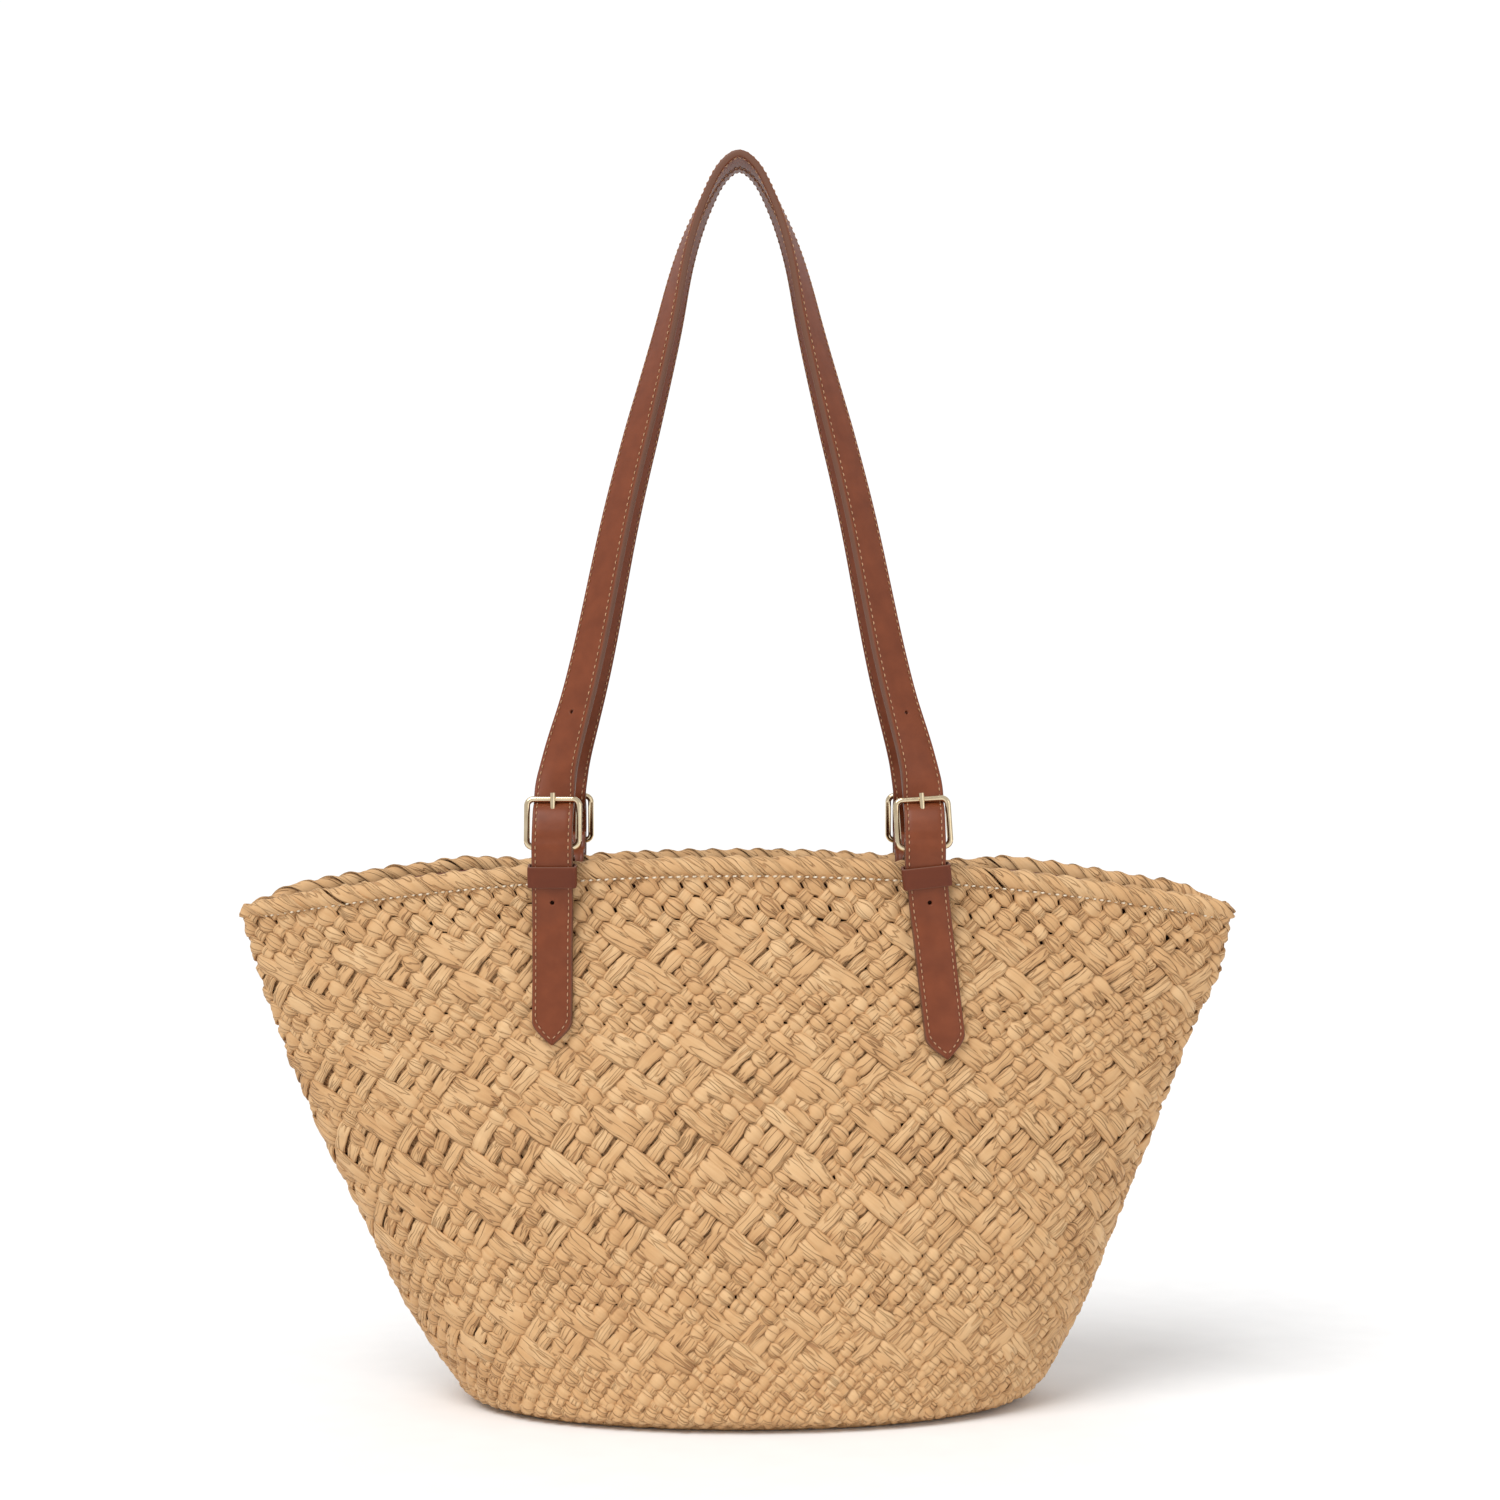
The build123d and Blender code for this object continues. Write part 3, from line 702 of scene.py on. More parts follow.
def stitches(name, middle, along, out, length, thread, material):
    """One small closed tube for each stitch: its line is middle + along t L / 2 with t from -1
    to 1, lifted by (1 - t^2), and its radius falls to a point at both ends."""
    t = np.linspace(-1, 1, STITCH_RINGS)
    turn = np.linspace(0, 2 * pi, STITCH_ROUND, endpoint=False)
    across = np.cross(along, out)
    line = middle[:, None] + along[:, None] * (t * length / 2)[:, None]
    line = line + out[:, None] * ((0.9 * (1 - t**2) - 0.35) * thread)[:, None]
    radius = thread / 2 * (1 - 0.75 * t**4)
    ring = across[:, None, None] * np.cos(turn)[:, None] + out[:, None, None] * np.sin(turn)[:, None]
    points = line[:, :, None] + ring * radius[:, None, None]
    # tone falls to 0 at both ends, where the thread takes the needle hole's painted shade
    tone = np.broadcast_to((1 - t**4)[:, None], points.shape[:3])
    return tubes(name, points, material, None, tone)


# the third colour is the painted shade of the needle holes
cream_thread = thread_material("cream_thread", (0.62, 0.48, 0.31), (0.88, 0.78, 0.62), (0.10, 0.045, 0.018))
for seam_name, inset, stretch, facing_side in SEAM_LINES:
    count = int(1.02 / SEAM_PITCH)
    ring = even_ring(rim_top - SEAM_BELOW_RIM, inset, count, stretch=stretch)
    along = np.roll(ring, -1, axis=0) - np.roll(ring, 1, axis=0)
    along /= np.linalg.norm(along, axis=1, keepdims=True)
    out = np.cross(along, (0, 0, 1))
    out *= facing_side / np.linalg.norm(out, axis=1, keepdims=True)
    along = along + (0, 0, 0.12)
    along /= np.linalg.norm(along, axis=1, keepdims=True)
    sewn = np.abs(ring[:, 0]) < np.abs(ring[:, 0]).max() - SEAM_END
    seam = stitches(seam_name, ring[sewn], along[sewn], out[sewn], SEAM_STITCH, SEAM_THREAD, cream_thread)
    place(seam, "bag", "cream_thread", "rim_seam_thread")


# The rim facing
# A chestnut leather tape that lies round the inside of the rim, over the lining's top edge.

INNER_STRETCH = 1.6
TAPE_OUTER = 0.0069
TAPE_INNER = 0.0083
TAPE_TOP = 0.0062
TAPE_BOTTOM = 0.0258
TAPE_STEPS = 12
TAPE_ROUND = 600


def leather(name, dark, light, edge, shine=0.42):
    """Smooth dyed leather: a soft mottle between two shades, a fine pore grain in relief, and
    painted edges where the point attribute tone nears 1. The map is in centimetres."""
    material = bpy.data.materials.new(name)
    material.use_nodes = True
    nodes, links = material.node_tree.nodes, material.node_tree.links
    shader = nodes["Principled BSDF"]
    shader.inputs["Specular IOR Level"].default_value = 0.28
    uv = nodes.new("ShaderNodeUVMap")
    uv.uv_map = "surface"

    def noise(scale, detail):
        texture = nodes.new("ShaderNodeTexNoise")
        texture.inputs["Scale"].default_value = scale
        texture.inputs["Detail"].default_value = detail
        links.new(uv.outputs["UV"], texture.inputs["Vector"])
        return texture.outputs["Fac"]

    mottle = noise(1.1, 5.0)
    ramp = nodes.new("ShaderNodeValToRGB")
    ramp.color_ramp.elements[0].position = 0.3
    ramp.color_ramp.elements[0].color = (*dark, 1)
    ramp.color_ramp.elements[1].position = 0.7
    ramp.color_ramp.elements[1].color = (*light, 1)
    links.new(mottle, ramp.inputs["Fac"])
    tone = nodes.new("ShaderNodeAttribute")
    tone.attribute_name = "tone"
    mix = nodes.new("ShaderNodeMix")
    mix.data_type = "RGBA"
    links.new(tone.outputs["Fac"], mix.inputs["Factor"])
    links.new(ramp.outputs["Color"], mix.inputs["A"])
    mix.inputs["B"].default_value = (*edge, 1)
    links.new(mix.outputs["Result"], shader.inputs["Base Color"])
    gloss = nodes.new("ShaderNodeMapRange")
    gloss.inputs["To Min"].default_value = shine - 0.06
    gloss.inputs["To Max"].default_value = shine + 0.08
    links.new(noise(3.0, 2.0), gloss.inputs["Value"])
    links.new(gloss.outputs["Result"], shader.inputs["Roughness"])
    pores = nodes.new("ShaderNodeTexVoronoi")
    pores.inputs["Scale"].default_value = 16.0
    links.new(uv.outputs["UV"], pores.inputs["Vector"])
    grain = nodes.new("ShaderNodeMath")
    grain.operation = "MULTIPLY_ADD"
    grain.inputs[1].default_value = 0.6
    links.new(pores.outputs["Distance"], grain.inputs[0])
    links.new(noise(9.0, 3.0), grain.inputs[2])
    bump = nodes.new("ShaderNodeBump")
    bump.inputs["Strength"].default_value = 0.22
    bump.inputs["Distance"].default_value = 0.00006
    links.new(grain.outputs[0], bump.inputs["Height"])
    links.new(bump.outputs["Normal"], shader.inputs["Normal"])
    return material


def rim_tape(material):
    """A closed loop carried round the rim: its section runs down the inner face and up the
    outer face of a tape with rounded edges."""
    s = np.linspace(0, 1, TAPE_STEPS)
    height = TAPE_BOTTOM - TAPE_TOP
    drop = np.concatenate([TAPE_TOP + height * s, TAPE_BOTTOM - height * s])
    inset = np.concatenate([np.full(TAPE_STEPS, TAPE_INNER), np.full(TAPE_STEPS, TAPE_OUTER)])
    inset[[0, TAPE_STEPS - 1]] -= 0.0003
    inset[[TAPE_STEPS, -1]] += 0.0003
    points = np.stack([even_ring(rim_top - d, i, TAPE_ROUND, stretch=INNER_STRETCH)
                       for d, i in zip(drop, inset)])
    quads = grid_quads(2 * TAPE_STEPS, TAPE_ROUND, close_rows=True, close_columns=True)
    around = np.broadcast_to(np.linspace(0, 102, TAPE_ROUND), points.shape[:2])
    down = np.broadcast_to(drop[:, None] * 100, points.shape[:2])
    tone = np.zeros(points.shape[:2])
    tone[[0, TAPE_STEPS - 1, TAPE_STEPS, -1]] = 0.6
    return quad_mesh("rim_facing_tape", points.reshape(-1, 3), quads, material,
                     np.stack([around, down], -1).reshape(-1, 2), tone.reshape(-1), np.zeros((0, 3), int))


chestnut = leather("chestnut_leather", (0.125, 0.029, 0.0105), (0.175, 0.043, 0.016), (0.15, 0.065, 0.040))
place(rim_tape(chestnut), "bag", "facing_leather", "rim_facing")


# The lining
# A dark brown plain-woven cloth, sewn under the facing all round the rim, with two sides and an oval
# bottom, cut a little full so that it falls in soft vertical folds. It is what shows dark through the
# gaps in the weave.

LINING_INSET = 0.0062
LINING_TOP = 0.0145
LINING_FLOOR = 0.0062
LINING_ROWS = 44
LINING_ROUND = 360
LINING_CLOTH = 0.0006


def cotton_material():
    """Plain-woven dark cotton: crossed fine waves for the threads and a soft noise of shade."""
    material = bpy.data.materials.new("lining_cotton")
    material.use_nodes = True
    nodes, links = material.node_tree.nodes, material.node_tree.links
    shader = nodes["Principled BSDF"]
    shader.inputs["Roughness"].default_value = 0.9
    shader.inputs["Sheen Weight"].default_value = 0.1
    uv = nodes.new("ShaderNodeUVMap")
    uv.uv_map = "surface"
    heights = []
    for direction in ("X", "Y"):
        wave = nodes.new("ShaderNodeTexWave")
        wave.bands_direction = direction
        wave.inputs["Scale"].default_value = 4.0
        wave.inputs["Distortion"].default_value = 1.0
        wave.inputs["Detail"].default_value = 1.0
        links.new(uv.outputs["UV"], wave.inputs["Vector"])
        heights.append(wave.outputs["Fac"])
    threads = nodes.new("ShaderNodeMath")
    threads.operation = "ADD"
    links.new(heights[0], threads.inputs[0])
    links.new(heights[1], threads.inputs[1])
    noise = nodes.new("ShaderNodeTexNoise")
    noise.inputs["Scale"].default_value = 1.5
    noise.inputs["Detail"].default_value = 4.0
    links.new(uv.outputs["UV"], noise.inputs["Vector"])
    ramp = nodes.new("ShaderNodeValToRGB")
    ramp.color_ramp.elements[0].position = 0.3
    ramp.color_ramp.elements[0].color = (0.030, 0.014, 0.008, 1)
    ramp.color_ramp.elements[1].position = 0.7
    ramp.color_ramp.elements[1].color = (0.060, 0.030, 0.016, 1)
    links.new(noise.outputs["Fac"], ramp.inputs["Fac"])
    links.new(ramp.outputs["Color"], shader.inputs["Base Color"])
    bump = nodes.new("ShaderNodeBump")
    bump.inputs["Strength"].default_value = 0.3
    bump.inputs["Distance"].default_value = 0.0002
    links.new(threads.outputs[0], bump.inputs["Height"])
    links.new(bump.outputs["Normal"], shader.inputs["Normal"])
    return material


def lining_cloth(material):
    """Rows of even rings from under the facing to the foot, then shrinking ovals to the middle of
    the bottom; folds lean inwards by a sum of slow waves round the bag, none at the top edge."""
    heights = np.linspace(rim_top - LINING_TOP, LINING_FLOOR + 0.004, LINING_ROWS)
    angle = np.linspace(0, 2 * pi, LINING_ROUND, endpoint=False)
    wave = sum(a * (1 + np.sin(n * angle + p)) for a, n, p in
               ((0.5, 9, 0.4), (0.35, 17, 1.9), (0.25, 31, 4.2), (0.15, 53, 2.6)))
    down = np.linspace(0, 1, LINING_ROWS)
    depth = 0.0011 * np.sin(pi * down) ** 0.7
    slide = 0.5 + 0.5 * np.sin(3 * down[:, None] * pi + 2 * angle[None])
    rows = []
    for z, d, side in zip(heights, depth, slide):
        ring = even_ring(z, LINING_INSET, LINING_ROUND, stretch=INNER_STRETCH)
        inwards = -ring * (1, 1, 0)
        inwards /= np.linalg.norm(inwards, axis=1, keepdims=True)
        rows.append(ring + inwards * (d * wave * side)[:, None])
    foot = rows[-1]
    for share, drop in zip((0.985, 0.96, 0.9, 0.75, 0.5, 0.25, 0.05), (0.003, 0.0038, *[0.004] * 5)):
        rows.append(foot * (share, share, 1) - (0, 0, drop))
    points = np.stack(rows)
    count = len(points)
    quads = grid_quads(count, LINING_ROUND, close_columns=True)
    along = np.broadcast_to(np.linspace(0, 96, LINING_ROUND), points.shape[:2])
    fall = np.broadcast_to(np.linspace(0, 33, count)[:, None], points.shape[:2])
    middle = (np.arange(LINING_ROUND) + (count - 1) * LINING_ROUND)[None]
    cloth = quad_mesh("cotton_lining", points.reshape(-1, 3), quads, material,
                      np.stack([along, fall], -1).reshape(-1, 2), None, middle)
    thickness = cloth.modifiers.new("cloth", "SOLIDIFY")
    thickness.thickness = LINING_CLOTH
    thickness.offset = -1
    return cloth


lining = place(lining_cloth(cotton_material()), "bag", "lining_cotton", "lining")


# The handles
# Each handle is one long leather strap, sewn along both edges, with painted edges. It runs
# from a pointed tail through the buckle, over the top and down to the other tail.

BAR = (0.091, 0.054, 0.2815)
HANDLE_X = -0.002
STRAP_WIDTH = 0.020
STRAP = 0.0035
TAB = 0.002
GAP = 0.0003
LEAN = radians(6.5825)
LOOP_RADIUS = 0.0035
RUN_SLOPE = 0.17
BEHIND_TOP_BAR = 0.00355
ARCH = ((0.0906, 0.0245), (0.0902, 0.029), (0.0812, 0.068),
        (0.0598, 0.1685), (0.0346, 0.271), (0.020, 0.322))
APEX = 0.3485
TWIST_AT = (0, 0.027, 0.033, 0.042, 0.072, 0.212, 0.274, 0.322, 0.3485)
TWIST = (0, 0, 14, 24, 36, 49, 63, 81, 90)
BEHIND_AT = (0, 0.006, 0.012, 0.0165, 0.019, 0.0215, 0.0235)
BEHIND = (-0.00655, -0.0062, -0.0050, -0.0032, -0.0004, 0.0027, BEHIND_TOP_BAR)
TAIL_TOP = 0.2735
TAB_END = 0.2355
POINT = 0.011
POINT_POWER = 1.6
STITCH_INSET = 0.002
STRAP_STEP = 0.0018
OPEN_HOLE_DROP = 0.027
SPARE_HOLE_RISE = 0.066
HOLE_RADIUS = 0.00105
STITCH_PITCH = 0.0033
STITCH_LENGTH = 0.0024
STITCH_THREAD = 0.0006
CORNERS = {
    "front_left": (-1, -1, 0.0, 0.0, 0.185),
    "front_right": (-1, 1, 3.5, 6.5, 0.178),
    "back_left": (1, -1, 0.0, 2.0, 0.183),
    "back_right": (1, 1, 0.0, 3.0, 0.181),
}


def wall_depth(x, z):
    """Distance of the outer wall from the middle plane, at x and z."""
    return half_depth(z) * (1 - (x / half_width(z)) ** 2) ** lens_power(z)


def run_depth(z):
    """Depth of the middle of the tab's outer leg on its straight run below the bar."""
    slope = np.arctan(RUN_SLOPE)
    top = BAR[2] - LOOP_RADIUS * np.sin(slope)
    return BAR[1] + LOOP_RADIUS * np.cos(slope) - (top - z) * RUN_SLOPE


def hanging_keys(x, slant, heights, lift):
    """Centres and width directions of a strip that hangs from the bar and then lies on the wall,
    on the front side: the greater depth of the straight run and of the wall plus the lift."""
    heights = np.asarray(heights, float)
    lift = np.broadcast_to(lift, heights.shape)
    xs = x + np.maximum(0, TAIL_TOP - heights) * np.tan(radians(slant))
    depth = np.maximum(run_depth(heights) + lift - TAB / 2, wall_depth(xs, heights) + GAP + lift)
    slope = -(wall_depth(xs + 0.001, heights) - wall_depth(xs - 0.001, heights)) / 0.002
    settled = np.clip((0.252 - heights) / 0.010, 0, 1)
    centres = np.stack([xs, -depth, heights], -1)
    across = np.stack([np.ones_like(xs), slope * settled, np.zeros_like(xs)], -1)
    return centres, across / np.linalg.norm(across, axis=1, keepdims=True)


def from_handle(local):
    """Points of the upright handle frame, lower bar at 0, leaned in and moved to the front bar."""
    x, y, z = local[..., 0], local[..., 1], local[..., 2]
    y, z = y * np.cos(LEAN) + z * np.sin(LEAN), z * np.cos(LEAN) - y * np.sin(LEAN)
    return np.stack([x, y - BAR[1], z + BAR[2]], -1)


def smooth_through(keys, at_keys, at):
    """The natural cubic spline through keys: its second derivatives solve a three-band system."""
    n, h = len(at_keys), np.diff(at_keys)
    bands = np.eye(n)
    i = np.arange(1, n - 1)
    bands[i, i - 1], bands[i, i], bands[i, i + 1] = h[:-1], 2 * (h[:-1] + h[1:]), h[1:]
    right = np.zeros_like(keys)
    rise = np.diff(keys, axis=0) / h[:, None]
    right[1:-1] = 6 * np.diff(rise, axis=0)
    bend = np.linalg.solve(bands, right)
    k = np.clip(np.searchsorted(at_keys, at) - 1, 0, n - 2)
    b = ((at - at_keys[k]) / h[k])[:, None]
    a = 1 - b
    bow = (a**3 - a) * bend[k] + (b**3 - b) * bend[k + 1]
    return a * keys[k] + b * keys[k + 1] + bow * h[k, None] ** 2 / 6


def strip_line(centres, across, step):
    """Evenly spaced centres, width directions, face normals and distances along smooth keys."""
    at_keys = np.concatenate([[0], np.cumsum(np.linalg.norm(np.diff(centres, axis=0), axis=1))])
    count = int(at_keys[-1] / step) + 1
    smooth = smooth_through(np.hstack([centres, across]), at_keys, np.linspace(0, at_keys[-1], count))
    centre, width_way = smooth[:, :3], smooth[:, 3:]
    along = np.gradient(centre, axis=0)
    spacing = np.linalg.norm(along, axis=1)
    face = np.cross(along, width_way)
    face /= np.linalg.norm(face, axis=1, keepdims=True)
    width_way = np.cross(face, along)
    width_way /= np.linalg.norm(width_way, axis=1, keepdims=True)
    distance = np.concatenate([[0], np.cumsum((spacing[1:] + spacing[:-1]) / 2)])
    return centre, width_way, face, distance


def handle_leg(hand, slant, tip):
    """Keys of half a front handle, from the tail's point up to just short of the crown."""
    x = HANDLE_X + hand * BAR[0]
    lift = TAB + GAP + STRAP / 2
    shoulder = tip + POINT
    bare = np.linspace(shoulder, TAB_END - 0.016, 4)
    over_tab = (0.2275, 0.2335, TAB_END, 0.239, 0.243, 0.247, 0.252, 0.262, 0.272)
    heights = np.concatenate([[tip, tip + 0.004], bare, over_tab])
    lifts = np.concatenate([np.full(6, STRAP / 2), [lift - (TAB + GAP) / 2], np.full(8, lift)])
    centres, across = hanging_keys(x, hand * slant, heights, lifts)
    reach = LOOP_RADIUS + TAB / 2 + GAP + STRAP / 2
    turn = np.radians((-6, 12, 30))
    bend = np.stack([np.full(3, x), -BAR[1] - reach * np.cos(turn), BAR[2] + reach * np.sin(turn)], -1)
    h = np.array((0.006, 0.009, 0.012, 0.0145, 0.0165, 0.019, 0.0215))
    drawn = x - hand * 0.0004 * h / ARCH[0][1]
    behind = np.interp(h, BEHIND_AT, BEHIND)
    threaded = from_handle(np.stack([drawn, behind, h], -1))
    straight = np.tile((1.0, 0, 0), (10, 1))
    centres = np.concatenate([centres, bend, threaded])
    across = np.concatenate([across, straight]) * hand
    return centres, across


def arch_keys():
    """Keys of the arch: a smooth curve in the handle's plane, with the strap turned about it by
    the twist, from edge-out at the buckles to flat over the crown."""
    right = np.array(ARCH)[::-1]
    left = right[::-1] * (-1, 1)
    corners = np.concatenate([left, [(0, APEX)], right])
    at = np.concatenate([[0], np.cumsum(np.linalg.norm(np.diff(corners, axis=0), axis=1))])
    line = smooth_through(corners, at, np.linspace(0, at[-1], 61))
    along = np.gradient(line, axis=0)
    along /= np.linalg.norm(along, axis=1, keepdims=True)
    turn = np.radians(np.interp(line[:, 1], TWIST_AT, TWIST))
    across = np.stack([-along[:, 1] * np.cos(turn), np.sin(turn), along[:, 0] * np.cos(turn)], -1)
    local = np.stack([line[:, 0] + HANDLE_X, np.full(len(line), BEHIND_TOP_BAR), line[:, 1]], -1)
    tip = from_handle(across) - from_handle(np.zeros(3))
    return from_handle(local), tip


EDGE_TUCK = 0.00014
EDGE_Q = np.array([0, 2, 4, 6, 7.2, 7.7, 8.0, 8.3, 8.8, 9.3, 9.7, 9.93]) / 10


def strip_mesh(name, line, width, thickness, material, groove, crown=0.0002):
    """A leather strip: over each centre a closed section of a face and a back, puffed by
    crown (1 - q^2), with rounded edges, a stitch groove and a painted edge."""
    centre, width_way, face, distance = line
    q = np.concatenate([-EDGE_Q[:0:-1], EDGE_Q])
    edge = 1 - np.abs(q)
    half = width / 2
    inner = np.clip(groove / half, 0.25, 0.9)[:, None]
    q_abs = np.abs(q)[None]
    spread = np.where(q_abs <= 0.8, q_abs * inner / 0.8, inner + (q_abs - 0.8) / 0.2 * (1 - inner))
    lateral = np.sign(q) * spread * half[:, None]
    round_off = np.sqrt(1 - np.clip(1 - edge / 0.09, 0, 1) ** 2 * 0.72)
    swell = crown * (1 - q**2) - 0.00022 * np.exp(-((np.abs(q) - 0.8) / 0.035) ** 2) * (groove[0] < 1)
    rise = thickness / 2 * round_off + swell
    rise = np.broadcast_to(rise, lateral.shape)
    ends = np.clip(distance / 0.0008, 0.25, 1) * np.clip((distance[-1] - distance) / 0.0008, 0.25, 1)
    rise = rise * np.sqrt(ends)[:, None]
    sides = (half - EDGE_TUCK)[:, None]
    lateral_ring = np.concatenate([lateral, sides, lateral[:, ::-1], -sides], axis=1)
    rise_ring = np.concatenate([rise, 0 * sides, -rise[:, ::-1], 0 * sides], axis=1)
    points = centre[:, None] + width_way[:, None] * lateral_ring[..., None]
    points = points + face[:, None] * rise_ring[..., None]
    paint = np.clip(1 - edge / 0.05, 0, 1) ** 0.5
    mask = np.concatenate([paint, [1.0], paint[::-1], [1.0]])
    tone = np.broadcast_to(mask, points.shape[:2])
    around = lateral_ring * 100 + np.where(rise_ring < 0, 7.0, 0.0)
    uv = np.stack([around, np.broadcast_to(distance[:, None] * 100, around.shape)], -1)
    return tubes(name, points[None], material, uv, tone)


def strap_width(distance, length):
    """Full width, drawn to a point with curved sides over the last stretch at both ends."""
    d = np.minimum(distance, length - distance)
    reach = np.clip(d / POINT, 0, 1)
    return STRAP_WIDTH * np.clip(1 - (1 - reach) ** POINT_POWER, 0.03, 1)


def stitch_offset(distance, length):
    """Distance of the stitch line from the middle: level along the strap, meeting at the point."""
    d = np.minimum(distance, length - distance)
    reach = np.clip((d - 0.0027) / (POINT - 0.0004), 0, 1)
    return (STRAP_WIDTH / 2 - STITCH_INSET) * (1 - (1 - reach) ** POINT_POWER)


def strap_stitches(name, line, material):
    """Stitches on both faces along both edges, on the line that stitch_offset gives."""
    centre, width_way, face, distance = line
    length = distance[-1]
    s = np.linspace(0.0028, length - 0.0028, 4000)
    offset = stitch_offset(s, length)
    walked = np.concatenate([[0], np.cumsum(np.hypot(np.diff(s), np.diff(offset)))])
    at = np.interp(np.arange(STITCH_PITCH / 2, walked[-1], STITCH_PITCH), walked, s)
    groups = []
    for side in (-1, 1):
        for lift in (-1, 1):
            spots = []
            for shift in (0, -STITCH_LENGTH / 2, STITCH_LENGTH / 2):
                place_at = at + shift
                q = side * stitch_offset(place_at, length)
                c, w, f = (np.stack([np.interp(place_at, distance, a[:, k]) for k in range(3)], -1)
                           for a in (centre, width_way, face))
                height = STRAP / 2 - 0.00004
                spots.append((c + w * q[:, None] + f * (lift * height), f * lift))
            along = spots[2][0] - spots[1][0]
            along /= np.linalg.norm(along, axis=1, keepdims=True)
            groups.append((spots[0][0], along, spots[0][1]))
    middle, along, out = (np.concatenate([g[k] for g in groups]) for k in range(3))
    out = out - along * np.sum(out * along, axis=1, keepdims=True)
    out /= np.linalg.norm(out, axis=1, keepdims=True)
    return stitches(name, middle, along, out, STITCH_LENGTH, STITCH_THREAD, material)


def mirrored(line):
    """The same strip on the back of the bag, with its face still outwards."""
    centre, width_way, face, distance = line
    flip = np.array((1, -1, 1))
    return centre * flip, width_way * flip, face * flip, distance


def cut(piece, cutter_points, cutter_quads, caps=None):
    """Takes a closed cutter out of a piece, and keeps the result as the piece's own mesh."""
    cutter = quad_mesh("cutter", cutter_points, cutter_quads, piece.data.materials[0], caps=caps)
    trim = piece.modifiers.new("cut", "BOOLEAN")
    trim.operation = "DIFFERENCE"
    trim.solver = "EXACT"
    trim.object = cutter
    bpy.context.view_layer.update()
    whole = piece.evaluated_get(bpy.context.evaluated_depsgraph_get())
    mesh = bpy.data.meshes.new_from_object(whole)
    piece.modifiers.remove(trim)
    piece.data = mesh
    bpy.data.objects.remove(cutter, do_unlink=True)


def punch(middle, way, radius, reach):
    """Points, quads and caps of a round bar through middle along way, to cut a punched hole."""
    way = np.array(way) / np.linalg.norm(way)
    side = np.cross(way, (0, 0, 1.0))
    side /= np.linalg.norm(side)
    up = np.cross(side, way)
    turn = np.linspace(0, 2 * pi, 20, endpoint=False)
    ring = side * (radius * np.cos(turn))[:, None] + up * (radius * np.sin(turn))[:, None]
    points = np.concatenate([middle + ring - way * reach, middle + ring + way * reach])
    return points, grid_quads(2, 20, close_columns=True), np.stack([np.arange(20)[::-1], np.arange(20, 40)])


def open_hole(hand, slant, side):
    """A bar through the tail where the strap's last hole lies below the keeper."""
    x = HANDLE_X + hand * BAR[0]
    height = BAR[2] - OPEN_HOLE_DROP
    centre, _ = hanging_keys(x, hand * slant, [height], TAB + GAP + STRAP / 2)
    return punch(centre[0] * (1, -side, 1), (0, 1, 0), HOLE_RADIUS, STRAP)


def spare_hole(line, hand):
    """A bar through a handle's leg at the spare hole above the buckle."""
    centre, _, face, _ = line
    above = centre[:, 2] - BAR[2] - SPARE_HOLE_RISE + 10.0 * ((centre[:, 0] - HANDLE_X) * hand < 0)
    at = np.argmin(np.abs(above))
    return punch(centre[at], face[at], HOLE_RADIUS, STRAP)


strap_leather = leather("strap_leather", (0.152, 0.0345, 0.0105), (0.195, 0.0465, 0.0150),
                        (0.15, 0.066, 0.040))
# the third colour is the painted shade of the needle holes
tan_thread = thread_material("tan_thread", (0.34, 0.16, 0.075), (0.56, 0.31, 0.16), (0.035, 0.012, 0.006))
strap_lines = {}
for name, side in (("front", -1), ("back", 1)):
    legs = {hand: handle_leg(hand, slant, tip)
            for s, hand, tilt, slant, tip in CORNERS.values() if s == side}
    arch, arch_across = arch_keys()
    keys = np.concatenate([legs[-1][0], arch, legs[1][0][::-1]])
    ways = np.concatenate([legs[-1][1], arch_across, legs[1][1][::-1]])
    line = strip_line(keys, ways, STRAP_STEP)
    if side > 0:
        line = mirrored(line)
    strap_lines[name] = line
    length = line[3][-1]
    strap = strip_mesh(f"{name}_handle_strap", line, strap_width(line[3], length), STRAP, strap_leather,
                       np.maximum(stitch_offset(line[3], length), 1e-5))
    holes = []
    for s, hand, tilt, slant, tip in CORNERS.values():
        if s == side:
            holes.append(open_hole(hand, slant, side))
            holes.append(spare_hole(line, hand))
    bars = np.stack([bar[0] for bar in holes])
    first = (np.arange(len(bars)) * bars.shape[1])[:, None, None]
    cut(strap, bars.reshape(-1, 3), (holes[0][1][None] + first).reshape(-1, 4),
        (holes[0][2][None] + first).reshape(-1, 20))
    sewing = strap_stitches(f"{name}_handle_stitching", line, tan_thread)
    parts = [f"{name}_strap_face", f"{name}_strap_backing"]
    parts += [f"{kind}_{name}_{hand}" for kind in ("strap_bend", "tail") for hand in ("left", "right")]
    for piece in (strap, sewing):
        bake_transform(piece)
        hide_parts(*parts)


# The tabs
# A strip of the same leather folded round each buckle's lower bar: one leg lies outside the wall
# under the tail, the other goes over the rim and down inside. A slot lets the tongue through.

SLOT = (0.0046, 0.016, 0.020)


def facing_depth(x, z):
    """Depth of a tab's inner leg, just clear of the facing at the leg's outer edge."""
    a = half_width(z) - TAPE_INNER * (1 + INNER_STRETCH * (lens_power(z) - OVAL_POWER) / LENS_GAIN)
    edge = abs(x) + STRAP_WIDTH / 2
    return (half_depth(z) - TAPE_INNER) * (1 - (edge / a) ** 2) ** lens_power(z) - 4 * GAP - TAB / 2


